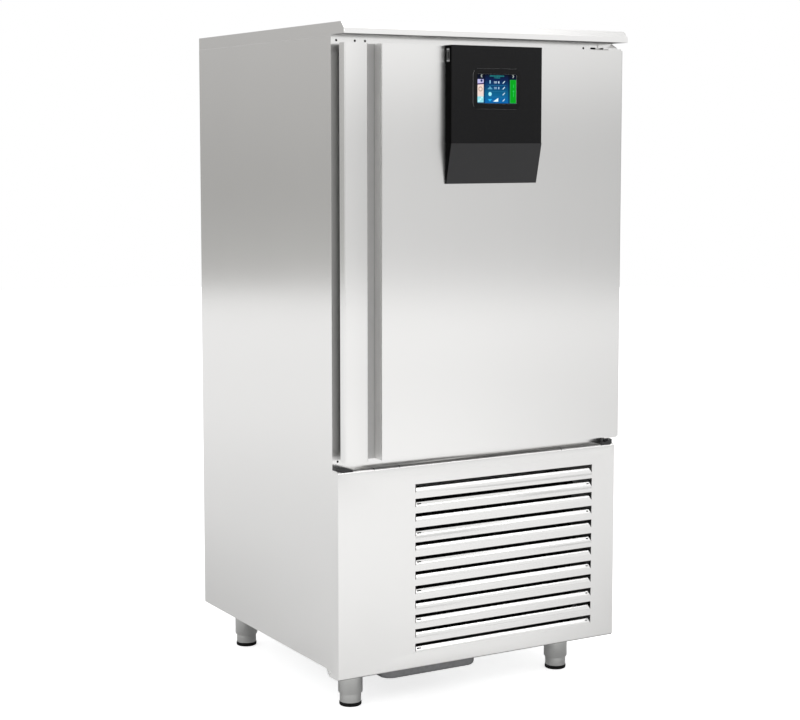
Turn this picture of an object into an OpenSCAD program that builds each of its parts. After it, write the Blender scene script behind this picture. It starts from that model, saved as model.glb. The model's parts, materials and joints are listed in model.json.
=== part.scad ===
// Reach-in blast chiller with a machine compartment below its food chamber.
// X runs to the right, Y to the back and Z up. The origin is on the floor, in the middle of the outline.
// Every module is drawn with Y measured from the front frame; at_frame() then moves it to its place.

/* [Cabinet] */
// Width of the cabinet
cabinet_w = 790; // [740:5:860]
// Depth from the front frame to the rear panel
cabinet_d = 737; // [715:1:800]
// Height from the floor to the worktop
cabinet_h = 1620; // [1560:5:1700]
// Height of the cabinet's underside above the floor
underside_h = 116.5; // [105:0.5:135]
// Height of the floor of the insulated body above the floor of the room
sill_h = 595; // [585:1:615]
// Thickness of the outer sheet
sheet = 1.2; // [0.8:0.1:1.6]
// Width of the folded returns of the side panels
return_w = 14; // [10:1:18]

/* [Worktop] */
// How far the worktop stands out over the front frame
overhang = 62.5; // [61:0.5:75]
// Height of the worktop's front edge
nosing_h = 27.5; // [24:0.5:32]
// Height of the worktop's side and rear skirts
skirt_h = 31; // [29:0.5:34]
// Size of the chamfer along the worktop's front edge
nosing_chamfer = 15; // [8:0.5:18]

/* [Insulated body] */
// Thickness of the insulated side and rear walls
wall = 60; // [52:1:66]
// Thickness of the insulated floor
floor_wall = 70; // [64:1:78]
// Thickness of the insulated roof
roof_wall = 90; // [86:1:100]
// Thickness of the chamber liner
liner_t = 1; // [0.8:0.1:1.5]
// Radius of the chamber's corners, seen from the front
chamber_r = 40; // [25:1:50]
// Width of the thermal break round the chamber's mouth
break_w = 12; // [8:0.5:13]
// Depth of the thermal break
break_d = 18; // [12:0.5:24]

/* [Door] */
// Distance from the front frame to the door's face
door_face = 59.3; // [56:0.1:61]
// Depth of the door's outer shell
shell_d = 24.3; // [20:0.1:26]
// Gap between the left side of the cabinet and the door
door_left_gap = 3.2; // [1:0.1:6]
// Gap between the right side of the cabinet and the door
door_right_gap = 12.3; // [10:0.1:14]
// Gap between the sill and the door's lower edge
door_low_gap = 23.4; // [20:0.1:28]
// Gap between the worktop and the door's upper edge
door_top_gap = 19.8; // [17:0.1:24]
// Thickness of the door's sheets
door_sheet = 1; // [0.8:0.1:1.5]
// Bend radius of the door's front edges
door_bend = 3; // [2:0.5:5]
// How far the inner pan stands inside the shell's edge
pan_inset = 18; // [15:0.5:20]
// Distance from the front frame to the inner pan's face
pan_gap = 9; // [8:0.5:11]
// Width of the gasket
gasket_w = 14; // [12:0.5:16]
// Gap between the gasket and the front frame
gasket_gap = 0.3; // [0.2:0.1:0.5]

/* [Door handle] */
// Width of the strip that the hand pulls
strip_w = 59.4; // [50:0.1:66]
// Width of the finger groove
groove_w = 36.3; // [30:0.1:42]
// Depth of the finger groove
groove_d = 35; // [30:0.5:38]
// How far the groove reaches behind the strip
undercut = 12; // [6:0.5:16]
// Depth of the strip's folded lip
lip_d = 9; // [7:0.5:12]

/* [Hinge] */
// Distance from the door's right edge to the hinge pin
pin_inset = 7; // [6.5:0.1:9]
// Distance from the front frame to the hinge pin
pin_y = 15; // [14.5:0.5:17]
// Radius of the hinge pins
pin_r = 3.5; // [2.5:0.1:4]
// Running clearance round the hinge pins
pin_play = 0.05; // [0.03:0.01:0.08]
// Thickness of the hinge plates
hinge_t = 4; // [3:0.5:4.5]
// Width of a lower hinge block
hinge_w = 43; // [36:1:50]
// Height of a lower hinge block at its outer side
hinge_h = 9; // [6:0.5:14]
// Radius of a lower hinge block's outer corner
hinge_r = 14; // [6:1:18]
// Height of the lower frame holes above the sill
low_hole = 19; // [16:0.5:22]
// Width of the hinge plates on the door
plate_w = 38; // [28:1:50]

/* [Control box] */
// Width of the control box
box_w = 252.6; // [235:0.2:270]
// Distance from the cabinet's left side to the control box
box_x = 267.2; // [230:0.2:290]
// Height of the control box's upright front
box_front_h = 225; // [200:1:260]
// Height of its tapered lower cover
box_taper_h = 94; // [70:1:120]
// How far the control box stands out from the door
box_proud = 27.5; // [22:0.5:35]
// How far the lower cover stands out at its lower edge
box_toe = 5; // [3:0.5:8]
// Wall thickness of the mouldings
box_wall = 2.5; // [1.5:0.1:3]
// Radius of the control box's upright edges
box_edge_r = 3; // [1:0.5:5]

/* [Screen] */
// Width of the screen's bezel
bezel_w = 132; // [120:1:145]
// Height of the screen's bezel
bezel_h = 94; // [84:1:104]
// Height of the bezel's lower edge above the lower edge of the upright front
bezel_z = 79; // [60:1:95]
// Distance from the control box's left edge to the bezel
bezel_x = 58.4; // [50:0.2:65]
// Corner radius of the bezel
bezel_r = 15; // [8:0.5:20]
// How far the bezel stands out from the control box
bezel_proud = 0.8; // [0.4:0.1:1.5]
// Width of the lit screen
screen_w = 109; // [95:1:116]
// Height of the lit screen
screen_h = 68; // [55:1:78]

/* [Lower front panel] */
// How far the lower front panel stands out from the front frame
panel_proud = 27.6; // [26:0.1:30]
// How far the panel hangs below the cabinet's underside
panel_drop = 16.1; // [14:0.1:17]
// Bend radius of the panel's upper front edge
panel_bend = 7; // [4:0.5:9]
// Depth of the panel's lower return
panel_return = 18; // [12:0.5:22]
// How far the side tabs reach behind the front frame
tab_d = 34; // [30:0.5:40]
// Number of louvres
louvre_count = 12; // [8:1:12]
// Height of a louvre's opening
louvre_h = 20; // [16:0.5:22]
// Distance from the panel's upper edge to the first louvre
louvre_top = 48.6; // [40:0.1:60]
// Distance from the last louvre to the panel's lower edge
louvre_low = 41; // [30:1:60]
// Distance from the panel's left edge to the louvres
louvre_left = 207; // [190:1:230]
// Distance from the panel's right edge to the louvres
louvre_right = 69; // [55:1:90]
// Depth of a louvre's blade behind the panel's face
blade_d = 6.5; // [5:0.5:9]
// Rise of a louvre's blade
blade_rise = 10; // [8:0.5:12]
// How much a blade's end tapers in towards its tip
blade_taper = 4.5; // [3:0.5:6]

/* [Feet] */
// Distance from the cabinet's sides to the feet's centres
foot_x = 94; // [80:1:110]
// Distance from the front frame to the front feet's centres
foot_front_y = 89; // [75:1:110]
// Distance from the rear panel to the rear feet's centres
foot_back_y = 60; // [50:1:75]
// Outer diameter of the leg sleeves
sleeve_d = 59.5; // [56:0.1:62]
// Outer diameter of the foot tubes
foot_d = 51.8; // [48:0.1:54]
// Height of the sleeves' lower edge above the floor
sleeve_z = 30; // [20:0.5:38]
// Height of the foot pads
pad_h = 9; // [7:0.5:12]
// Diameter of the foot pads
pad_d = 54; // [52:0.5:57]
// Radial clearance between the foot tubes and the sleeves
foot_play = 0.08; // [0.04:0.01:0.1]

/* [Chamber fittings] */
// Number of tray levels
levels = 10; // [8:1:10]
// Height of the first level above the chamber's floor
first_level = 60; // [50:1:75]
// Distance from the last level to the chamber's ceiling
last_level = 130; // [120:1:150]
// Distance from the tray runners to the evaporator cover
runner_gap = 30; // [20:1:60]
// Width of a runner's ledge
runner_w = 28; // [20:1:32]
// Distance from the liner's front edge to the runners
runner_y = 22; // [15:1:30]
// Depth of the evaporator's space behind its cover
evaporator_space = 227; // [225:1:232]
// Distance from the evaporator cover to the chamber's side walls
cover_side = 35; // [20:1:55]
// Diameter of an evaporator fan
fan_d = 240; // [200:2:260]
// Distance from an evaporator fan's middle to the chamber's floor or ceiling
fan_margin = 232.5; // [200:0.5:250]
// Depth of the evaporator coil, front to back
coil_d = 95; // [70:1:98]
// Distance from the evaporator coil to the chamber's side walls
coil_side = 85; // [75:1:115]
// Distance from the evaporator coil to the chamber's floor and ceiling
coil_margin = 82.5; // [62.5:0.5:130]
// Pitch of the evaporator's fins
fin_pitch = 12; // [10:0.5:16]

/* [Machine compartment] */
// Width of the condenser
condenser_w = 480; // [420:5:500]
// Height of the condenser
condenser_h = 370; // [350:5:400]
// Depth of the condenser
condenser_d = 66; // [50:1:80]
// Diameter of the condenser fan
condenser_fan_d = 320; // [280:5:330]
// Diameter of the compressor's shell
compressor_d = 190; // [160:5:220]
// Height of the compressor
compressor_h = 330; // [280:5:340]
// Depth of the electrical box, from the side panel
ebox_w = 110; // [90:5:115]
// Length of the electrical box, front to back
ebox_l = 260; // [220:5:300]
// Height of the electrical box
ebox_h = 225; // [180:5:240]

/* [Drip tray] */
// Width of the drip tray
tray_w = 264; // [240:1:280]
// Depth of the drip tray, front to back
tray_d = 325; // [280:1:350]
// Height of the drip tray
tray_h = 25; // [20:0.5:28]
// Distance from the front frame to the drip tray
tray_y = 7; // [2:0.5:12]
// Distance from the cabinet's left side to the drip tray
tray_x = 144; // [140:1:160]
// Corner radius of the drip tray
tray_r = 30; // [20:1:40]
// Wall thickness of the drip tray
tray_t = 1.2; // [0.8:0.1:2]
// Clearance between the drip tray and its rails
tray_play = 0.3; // [0.2:0.05:0.5]

/* [Hidden] */

$fn = 48;
steel = "#c9c9c7";
dull_steel = "#9c9d9c";
black = "#1b1b1c";
dark_grey = "#3c3c3e";
copper = "#b5713f";

// Outline and levels of the cabinet
half_w = cabinet_w / 2;
in_w = half_w - sheet;
in_top = cabinet_h - sheet;
in_back = cabinet_d - sheet;
skirt_z = cabinet_h - skirt_h;
nosing_z = cabinet_h - nosing_h;
grommet_x = -half_w + 95;
grommet_z = underside_h + 70;
grommet_r = 11;
rear_proud = 2;
frame_y = (door_face + box_proud + bezel_proud - cabinet_d - rear_proud) / 2;

// Screw holes above the door, measured from the middle, and those of the lower panel's tabs
frame_holes = [half_w - 14, half_w - 62, half_w - 88.5];
hole_z = nosing_z - 12.5;
screw_y = 20;
screw_z = underside_h - 7;

// Chamber
chamber_w = half_w - wall;
chamber_back = cabinet_d - wall;
chamber_z0 = sill_h + floor_wall;
chamber_z1 = cabinet_h - roof_wall;

// Door
door_x0 = -half_w + door_left_gap;
door_x1 = half_w - door_right_gap;
door_z0 = sill_h + door_low_gap;
door_z1 = nosing_z - door_top_gap;
shell_back = -door_face + shell_d;
groove_x0 = door_x0 + strip_w;
groove_x1 = groove_x0 + groove_w;
groove_y = -door_face + groove_d;
door_path = [[door_x0, shell_back], [door_x0, -door_face], [groove_x0, -door_face],
    [groove_x0, -door_face + lip_d], [groove_x0 - undercut, -door_face + lip_d],
    [groove_x0 - undercut, groove_y], [groove_x1, groove_y], [groove_x1, -door_face],
    [door_x1, -door_face], [door_x1, shell_back]];
pan_x0 = door_x0 + pan_inset;
pan_x1 = door_x1 - pan_inset;
pan_z0 = door_z0 + pan_inset;
pan_z1 = door_z1 - pan_inset;
gasket_in = 4;
clear = 0.3;

// Hinge
pin_x = door_x1 - pin_inset;
hinge_top = sill_h + hinge_h;
low_hole_z = sill_h + low_hole;

// Control box and screen
box_x0 = -half_w + box_x;
box_x1 = box_x0 + box_w;
box_z1 = door_z1;
box_z0 = box_z1 - box_front_h;
box_low = box_z0 - box_taper_h;
box_face = -door_face - box_proud;
bezel_x0 = box_x0 + bezel_x;
bezel_low = box_z0 + bezel_z;
screen_x0 = bezel_x0 + (bezel_w - screen_w) / 2;
screen_z0 = bezel_low + (bezel_h - screen_h) / 2;

// Lower front panel
panel_z0 = underside_h - panel_drop;
louvre_x0 = -half_w + louvre_left;
louvre_x1 = half_w - louvre_right;
louvre_w = louvre_x1 - louvre_x0;
louvre_pitch = (sill_h - louvre_top - louvre_h - louvre_low - panel_z0) / (louvre_count - 1);

// Feet: centres and their sides
foot_span = half_w - foot_x;
foot_rear = cabinet_d - foot_back_y;
foot_top = underside_h - 18;

// Base
base_t = 2;
base_z = underside_h + sheet;
base_top = base_z + base_t;

// Chamber fittings
rack_z0 = chamber_z0 + chamber_r + 3;
rack_z1 = chamber_z1 - chamber_r - 3;
post_d = 28;
rack_web = -chamber_w + post_d;
cover_y = chamber_back - evaporator_space;
cover_w = 2 * (chamber_w - cover_side);
coil_w = 2 * (chamber_w - coil_side);
coil_h = chamber_z1 - chamber_z0 - 2 * coil_margin;
runner_y0 = break_d + runner_y;
runner_l = cover_y - runner_gap - runner_y0;
level_pitch = (chamber_z1 - chamber_z0 - first_level - last_level) / (levels - 1);
mouth_r = fan_d / 2 + 6;
cover_t = 1.2;
cover_back = cover_y + cover_t;
bell_d = 26;
rotor_y = cover_back + 8;
rotor_d = 26;
motor_y = rotor_y + rotor_d + 4;
motor_d = 38;
coil_y = motor_y + motor_d + 4;
coil_z0 = chamber_z0 + coil_margin;
fan_spots = [chamber_z1 - fan_margin, chamber_z0 + fan_margin];

// Machine compartment
condenser_x = (louvre_x0 + louvre_x1) / 2;
condenser_y = 40;
condenser_z0 = base_top + 18;
condenser_mid = condenser_z0 + condenser_h / 2;
shroud_y = condenser_y + condenser_d;
shroud_d = 40;
cfan_y = shroud_y + 14;
cfan_d = 34;
cmotor_y = cfan_y + cfan_d + 4;
compressor_x = -half_w + 205;
compressor_y = cabinet_d - 237;
condenser_ports = [condenser_z0 + condenser_h - 30, condenser_z0 + 50];
cmouth_r = condenser_fan_d / 2 + 6;
stub_x = 45;
stub_top = base_top + compressor_h + 10;
receiver_x = half_w - 300;
receiver_y = cabinet_d - 167;
receiver_h = 230;
receiver_top = base_top + receiver_h;
drier_x = half_w - 160;
drier_y = receiver_y + 18;
drier_z = base_top + 120;
drier_l = 120;
drain_x = -half_w + tray_x + tray_w / 2;
drain_y = tray_y + 208;
drain_r = 12;
ebox_y = 70;
ebox_z = sill_h - 40 - ebox_h;

// Drip tray
tray_x0 = -half_w + tray_x;
tray_x1 = tray_x0 + tray_w;
tray_z1 = panel_z0 - 3.9;
tray_z0 = tray_z1 - tray_h;
tray_rim = 8;

// ---- Shapes that repeat -------------------------------------------------------------------------

// Draws its children with Y measured from the front frame
module at_frame() translate([0, frame_y, 0]) children();

// Box between two corners
module block(low, high) translate(low) cube(high - low);

// Outline in Y and Z, drawn out along X
module along_x(x0, x1) translate([x0, 0, 0]) rotate([90, 0, 90]) linear_extrude(x1 - x0) children();

// Outline in X and Z, drawn out along Y
module along_y(y0, y1) translate([0, y1, 0]) rotate([90, 0, 0]) linear_extrude(y1 - y0) children();

// Outline in X and Y, drawn out along Z
module along_z(z0, z1) translate([0, 0, z0]) linear_extrude(z1 - z0) children();

// Round bar or hole along Y
module bar_y(x, z, r, y0, y1) translate([x, y0, z]) rotate([-90, 0, 0]) cylinder(h = y1 - y0, r = r);

// Round bar or hole along X
module bar_x(y, z, r, x0, x1) translate([x0, y, z]) rotate([0, 90, 0]) cylinder(h = x1 - x0, r = r);

// Round bar or hole along Z
module bar_z(x, y, r, z0, z1) translate([x, y, z0]) cylinder(h = z1 - z0, r = r);

// Rectangle between two corners with round corners
module rounded(low, high, r) {
    translate(low + [r, 0]) square([high.x - low.x - 2 * r, high.y - low.y]);
    translate(low + [0, r]) square([high.x - low.x, high.y - low.y - 2 * r]);
    for (x = [low.x + r, high.x - r], y = [low.y + r, high.y - r]) translate([x, y]) circle(r);
}

// Both sides of the cabinet
module both_sides() for (s = [0, 1]) mirror([s, 0, 0]) children();

function unit(v) = v / norm(v);
function left_of(a, b) = let (u = unit(b - a)) [-u.y, u.x];
function spun(v, w) = [v.x * cos(w) - v.y * sin(w), v.x * sin(w) + v.y * cos(w)];

// Point i of a path, moved by t to the path's left, with mitred corners
function beside(path, i, t) = let (
        last = len(path) - 1,
        a = i == 0 ? left_of(path[0], path[1]) : left_of(path[i - 1], path[i]),
        b = i == last ? left_of(path[last - 1], path[last]) : left_of(path[i], path[i + 1])
    ) path[i] + t * (a + b) / (1 + a * b);

// Points round the corner p between a and b, bent at radius r
function bend(a, p, b, r, steps = 5) = let (
        u = unit(a - p),
        v = unit(b - p),
        half = acos(u * v) / 2,
        centre = p + unit(u + v) * r / sin(half),
        from = p + u * r / tan(half) - centre,
        turn = sign(cross(-u, v)) * (180 - 2 * half)
    ) [for (k = [0:steps]) centre + spun(from, turn * k / steps)];

// A path with its inner corners bent at radius r
function bent(path, r) = let (last = len(path) - 1) [
    for (i = [0:last]) each
        i == 0 || i == last ? [path[i]] : bend(path[i - 1], path[i], path[i + 1], r)];

// Outline of a sheet of thickness t on the left of a path
module folded(path, t) polygon(concat(path,
    [for (i = [len(path) - 1:-1:0]) beside(path, i, t)]));

// Pipe of diameter d along straight runs, with ball joints at the bends
module pipe_run(points, d) {
    for (i = [0:len(points) - 2]) {
        v = points[i + 1] - points[i];
        translate(points[i]) rotate([0, acos(v.z / norm(v)), atan2(v.y, v.x)])
            cylinder(h = norm(v), d = d, $fn = 24);
    }
    for (i = [1:len(points) - 2]) translate(points[i]) sphere(d = d, $fn = 24);
}

// Fins side by side along X, joined by a spine at mid-depth
module fin_pack(x0, x1, y0, y1, pitch, fin) {
    spine = 0.35 * (y1 - y0);
    count = floor((x1 - x0 - fin) / pitch);
    step = (x1 - x0 - fin) / count;
    translate([x0, y0 + spine]) square([x1 - x0, y1 - y0 - 2 * spine]);
    for (i = [0:count]) translate([x0 + i * step, y0]) square([fin, y1 - y0]);
}

// Return bends of a coil's tubes, standing out to +X from x
module return_bends(x, y0, y1, z0, z1, d, count) {
    step = (z1 - z0) / count;
    r = step / 4;
    for (y = [y0, y1], i = [0:count - 1]) translate([x, y, z0 + (i + 0.5) * step])
        rotate([90, 0, 0]) rotate([0, 0, -90]) rotate_extrude(angle = 180, $fn = 24)
            translate([r, 0]) circle(d = d, $fn = 16);
}

// Fan rotor along Y: a hub with a bore and twisted blades
module rotor(r, hub_r, depth, blades, bore_r) rotate([-90, 0, 0]) {
    difference() {
        cylinder(h = depth, r = hub_r);
        translate([0, 0, 6]) cylinder(h = depth, r = bore_r);
    }
    for (k = [0:blades - 1]) rotate([0, 0, 360 * k / blades]) translate([0, 0, 1])
        linear_extrude(depth - 2, twist = 46, slices = 4) intersection() {
            translate([hub_r - 2, -1.1]) square([r - hub_r + 1, 2.2]);
            circle(r, $fn = 32);
        }
}

// ---- Casing --------------------------------------------------------------------------------------

// Folded pan with a closed front nosing, side skirts and a rear skirt
module worktop() color(steel) at_frame() difference() {
    along_x(-half_w, half_w) polygon([
        [-overhang, nosing_z], [-overhang, cabinet_h - nosing_chamfer],
        [-overhang + nosing_chamfer, cabinet_h], [cabinet_d, cabinet_h],
        [cabinet_d, skirt_z], [0, skirt_z], [0, nosing_z]]);
    along_x(-in_w, in_w) polygon([
        [-overhang + sheet, nosing_z + sheet],
        [-overhang + sheet, cabinet_h - nosing_chamfer - sheet * tan(22.5)],
        [-overhang + nosing_chamfer + sheet * tan(22.5), in_top],
        [in_back, in_top], [in_back, skirt_z - 1], [0, skirt_z - 1], [0, nosing_z + sheet]]);
}

// Length of a side panel between two levels, its front return at y, or without one
module side_length(z0, z1, y, returned = true) along_z(z0, z1) folded(concat(
    [[-half_w + return_w, in_back], [-half_w, in_back], [-half_w, y]],
    returned ? [[-half_w + return_w, y]] : []), sheet);

// Side panel with folded returns at the front, the back and the bottom, relieved at the sill
module side_panel() color(steel) at_frame() difference() {
    union() {
        side_length(underside_h, sill_h - 3, 0);
        side_length(sill_h - 3, sill_h, 0, false);
        side_length(sill_h, skirt_z, sheet);
        block([-half_w, 0, underside_h], [-half_w + return_w, in_back, base_z]);
    }
    rear_holes();
}

module left_side_panel() side_panel();

module right_side_panel() mirror([1, 0, 0]) side_panel();

// Flat rear panel of the insulated body
module rear_panel() color(steel) at_frame() difference() {
    block([-half_w, in_back, sill_h], [half_w, cabinet_d, skirt_z]);
    rear_holes();
}

// Draws its children at each screw of the left side of the rear panels
module at_rear_screws() {
    step = (skirt_z - sill_h - 60) / 3;
    for (z = [underside_h + 30, sill_h - 30, sill_h + 30, sill_h + 30 + step, sill_h + 30 + 2 * step,
        skirt_z - 30]) translate([-half_w + 8, 0, z]) children();
}

// Round-headed screws of the rear panels and of the lower front panel's side tabs
module casing_screws() color(dull_steel) at_frame() both_sides() {
    at_rear_screws() {
        bar_y(0, 0, 2, in_back - sheet, cabinet_d + 0.5);
        bar_y(0, 0, 4, cabinet_d, cabinet_d + rear_proud);
    }
    bar_x(screw_y, screw_z, 2, -half_w - 0.5, -half_w + 6);
    bar_x(screw_y, screw_z, 4, -half_w - 2.2, -half_w);
}

// Holes for the rear panels' screws
module rear_holes() both_sides() at_rear_screws() bar_y(0, 0, 2.1, in_back - 4, cabinet_d + 1);

// Rear panel of the machine compartment, with its air slots and the grommet's hole
module rear_vent_panel() color(steel) at_frame() difference() {
    block([-half_w, in_back, underside_h], [half_w, cabinet_d, sill_h]);
    slot_w = (cabinet_w - 260) / 4;
    for (i = [0:3], z = [underside_h + 150:26:sill_h - 70]) {
        x = -half_w + 100 + i * (slot_w + 20);
        along_y(in_back - 1, cabinet_d + 1) rounded([x, z], [x + slot_w, z + 8], 3);
    }
    bar_y(grommet_x, grommet_z, grommet_r, in_back - 1, cabinet_d + 1);
    rear_holes();
}

// Rounded outline of the chamber's mouth, grown on all sides
module mouth(grow) rounded([-chamber_w - grow, chamber_z0 - grow], [chamber_w + grow, chamber_z1 + grow],
    chamber_r + grow);

// Sheet round the chamber's mouth, drilled for hinges on both sides
module front_frame() color(steel) at_frame() difference() {
    union() {
        block([-half_w, 0, sill_h], [half_w, sheet, skirt_z]);
        block([-in_w, 0, skirt_z], [in_w, sheet, in_top]);
    }
    along_y(-1, sheet + 1) mouth(break_w);
    for (x = frame_holes) bar_y(-x, hole_z, 2.6, -1, sheet + 1);
    bar_y(half_w - 88.5, hole_z, 2.6, -1, sheet + 1);
    for (s = [-1, 1]) bar_y(s * (half_w - 14), low_hole_z, 2.6, -1, sheet + 1);
}

// ---- Lower front panel ---------------------------------------------------------------------------

// One louvre's opening
module louvre_cut(z) along_y(-panel_proud - 1, -panel_proud + sheet + 0.01)
    translate([louvre_x0, z - louvre_h]) square([louvre_w, louvre_h]);

// One louvre's blade: a tongue folded in from the opening's lower edge, tapered at its free ends
module louvre_blade(z, slotted) {
    low = z - louvre_h;
    back = -panel_proud + blade_d;
    slot_z = low + 0.5 * blade_rise;
    difference() {
        along_x(louvre_x0, louvre_x1) folded([
            [-panel_proud, low - 1], [-panel_proud, low], [back, low + blade_rise]], -sheet);
        for (end = [[louvre_x0, 1], [louvre_x1, -1]]) along_y(-panel_proud - 1, back + 3) polygon([
            [end[0] - end[1], low], [end[0] + end[1] * 0.6, low],
            [end[0] + end[1] * blade_taper, low + blade_rise],
            [end[0] + end[1] * blade_taper, low + blade_rise + 3], [end[0] - end[1], low + blade_rise + 3]]);
        if (slotted) for (x = [louvre_x0 + 10, louvre_x1 - 10])
            block([x - 3.4, -panel_proud - 1, slot_z], [x + 3.4, back + 3, slot_z + 2.4]);
    }
}

// Folded panel with a round upper bend, side returns with tabs, a lower return and louvres
module lower_front_panel() color(steel) at_frame() {
    front = [[0, sill_h], [-panel_proud, sill_h], [-panel_proud, panel_z0],
        [-panel_proud + panel_return, panel_z0]];
    difference() {
        along_x(-half_w, half_w) folded(bent(front, panel_bend), sheet);
        for (i = [0:louvre_count - 1]) louvre_cut(sill_h - louvre_top - i * louvre_pitch);
    }
    for (i = [0:louvre_count - 1])
        louvre_blade(sill_h - louvre_top - i * louvre_pitch, i % 2 == 1);
    for (s = [0, 1]) mirror([s, 0, 0]) {
        along_x(-half_w, -in_w) polygon(concat([[-clear / 3, sill_h]], bend([0, sill_h], [-panel_proud, sill_h],
            [-panel_proud, panel_z0], panel_bend), bend([-panel_proud, sill_h], [-panel_proud, panel_z0],
            [0, panel_z0], panel_bend), [[-clear / 3, panel_z0]]));
        along_x(-half_w, -in_w) difference() {
            polygon([[-1, panel_z0], [tab_d - panel_drop + 2, panel_z0], [tab_d, underside_h - 2],
                [tab_d, underside_h], [-1, underside_h]]);
            translate([screw_y, screw_z]) circle(2.2);
        }
    }
}

// Base plate with upturned edges, drilled for the drain
module base_plate() color(dull_steel) at_frame() difference() {
    block([-in_w, 2 * sheet, base_z], [in_w, in_back - sheet, base_z + 24]);
    block([-in_w + base_t, 2 * sheet + base_t, base_top],
        [in_w - base_t, in_back - sheet - base_t, base_z + 25]);
    bar_z(drain_x, drain_y, drain_r + 2, base_z - 1, base_top + 1);
}

// Sheet under the insulated body
module deck() color(dull_steel) at_frame() difference() {
    block([-in_w, 2 * sheet, sill_h], [in_w, in_back - sheet, sill_h + sheet]);
    bar_z(drain_x, drain_y, drain_r + clear, sill_h - 1, sill_h + sheet + 1);
}

// ---- Insulated body ------------------------------------------------------------------------------

// Seamless inner box, open at the front, with round corners and a drain hole
module chamber_liner() color(steel) at_frame() difference() {
    along_y(break_d, chamber_back + liner_t) mouth(liner_t);
    along_y(break_d - 1, chamber_back) mouth(0);
    bar_z(drain_x, drain_y, drain_r + clear, chamber_z0 - liner_t - 1, chamber_z0 + 1);
}

// Plastic ring between the front frame and the liner
module break_strip() color(dark_grey) at_frame() difference() {
    along_y(0, break_d) mouth(break_w);
    along_y(-1, break_d + 1) mouth(0);
}

// Foam between the outer sheets and the liner
module cabinet_insulation() color("#e6d9a8") at_frame() difference() {
    block([-in_w, 2 * sheet, sill_h + sheet], [in_w, in_back - sheet, in_top]);
    along_y(-1, break_d) mouth(break_w);
    along_y(break_d - 1, chamber_back + liner_t) mouth(liner_t);
    bar_z(drain_x, drain_y, drain_r + clear, sill_h, chamber_z0 + 1);
}

// Drain of the chamber: a flanged cup and a pipe down to the drip tray
module drain_pipe() color(dull_steel) at_frame() difference() {
    union() {
        bar_z(drain_x, drain_y, drain_r, tray_z1 + 3, chamber_z0 + 1.5);
        bar_z(drain_x, drain_y, drain_r + 8, chamber_z0, chamber_z0 + 1.5);
    }
    bar_z(drain_x, drain_y, drain_r - 1.5, tray_z1 + 2, chamber_z0 + 2);
}

// ---- Door ----------------------------------------------------------------------------------------

// Outer shell: one folded sheet with the handle groove, closed at its top and bottom
module door_shell() color(steel) at_frame() {
    strip_end = concat(
        bend([door_x0, shell_back], [door_x0, -door_face], [groove_x0, -door_face], door_bend),
        bend([door_x0, -door_face], [groove_x0, -door_face], [groove_x0, 0], door_bend),
        [[groove_x0, -door_face + lip_d], [groove_x0 - undercut, -door_face + lip_d],
        [groove_x0 - undercut, shell_back], [door_x0, shell_back]]);
    main_end = concat(
        bend([groove_x1, shell_back], [groove_x1, -door_face], [door_x1, -door_face], door_bend),
        bend([groove_x1, -door_face], [door_x1, -door_face], [door_x1, shell_back], door_bend),
        [[door_x1, shell_back], [groove_x1, shell_back]]);
    along_z(door_z0, door_z1) folded(bent(door_path, door_bend), door_sheet);
    for (z = [door_z0, door_z1 - door_sheet], end = [strip_end, main_end])
        along_z(z, z + door_sheet) polygon(end);
}

// Space that the handle groove takes out of what lies behind the shell
module groove_space(play) block([groove_x0 - undercut - door_sheet - play, -door_face, door_z0 - 1],
    [groove_x1 + door_sheet + play, groove_y + door_sheet + play, door_z1 + 1]);

// Inner pan: a pressed tray whose flange closes the shell
module door_pan() color(steel) at_frame() difference() {
    union() {
        block([door_x0, shell_back, door_z0], [door_x1, shell_back + door_sheet, door_z1]);
        block([pan_x0, shell_back, pan_z0], [pan_x1, -pan_gap, pan_z1]);
    }
    block([pan_x0 + door_sheet, shell_back - 1, pan_z0 + door_sheet],
        [pan_x1 - door_sheet, -pan_gap - door_sheet, pan_z1 - door_sheet]);
    groove_space(clear);
}

// Foam between the shell and the pan, kept clear of the groove
module door_insulation() color("#e6d9a8") at_frame() {
    inset = door_sheet + clear;
    difference() {
        block([pan_x0 + inset, -door_face + inset, pan_z0 + inset],
            [pan_x1 - inset, -pan_gap - inset, pan_z1 - inset]);
        groove_space(door_bend);
    }
}

// Magnetic gasket: a flat foot on the pan, a narrow waist and a flat lip towards the frame
module door_gasket() color(dark_grey) at_frame() {
    middle = (pan_gap + gasket_gap) / 2;
    gasket_band(0, -pan_gap, -middle - 1.5);
    gasket_band(3, -middle - 1.6, -middle + 1.6);
    gasket_band(0, -middle + 1.5, -gasket_gap);
}

module gasket_band(inset, y0, y1) difference() {
    along_y(y0, y1) gasket_ring(inset);
    along_y(y0 - 1, y1 + 1) gasket_ring(gasket_w - inset);
}

module gasket_ring(inset) rounded([pan_x0 + gasket_in + inset, pan_z0 + gasket_in + inset],
    [pan_x1 - gasket_in - inset, pan_z1 - gasket_in - inset], gasket_w + 4 - inset);

// Plates on the door's upper and lower ends, bored for the hinge pins
module door_hinge_plates() color(dull_steel) at_frame() {
    for (z = [door_z0 - hinge_t, door_z1]) difference() {
        along_z(z, z + hinge_t) rounded([door_x1 - plate_w, -door_face + 6], [door_x1, -pin_y + pin_r + 4], 3);
        bar_z(pin_x, -pin_y, pin_r + pin_play, z - 1, z + hinge_t + 1);
    }
}

// ---- Hinge brackets ------------------------------------------------------------------------------

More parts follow.
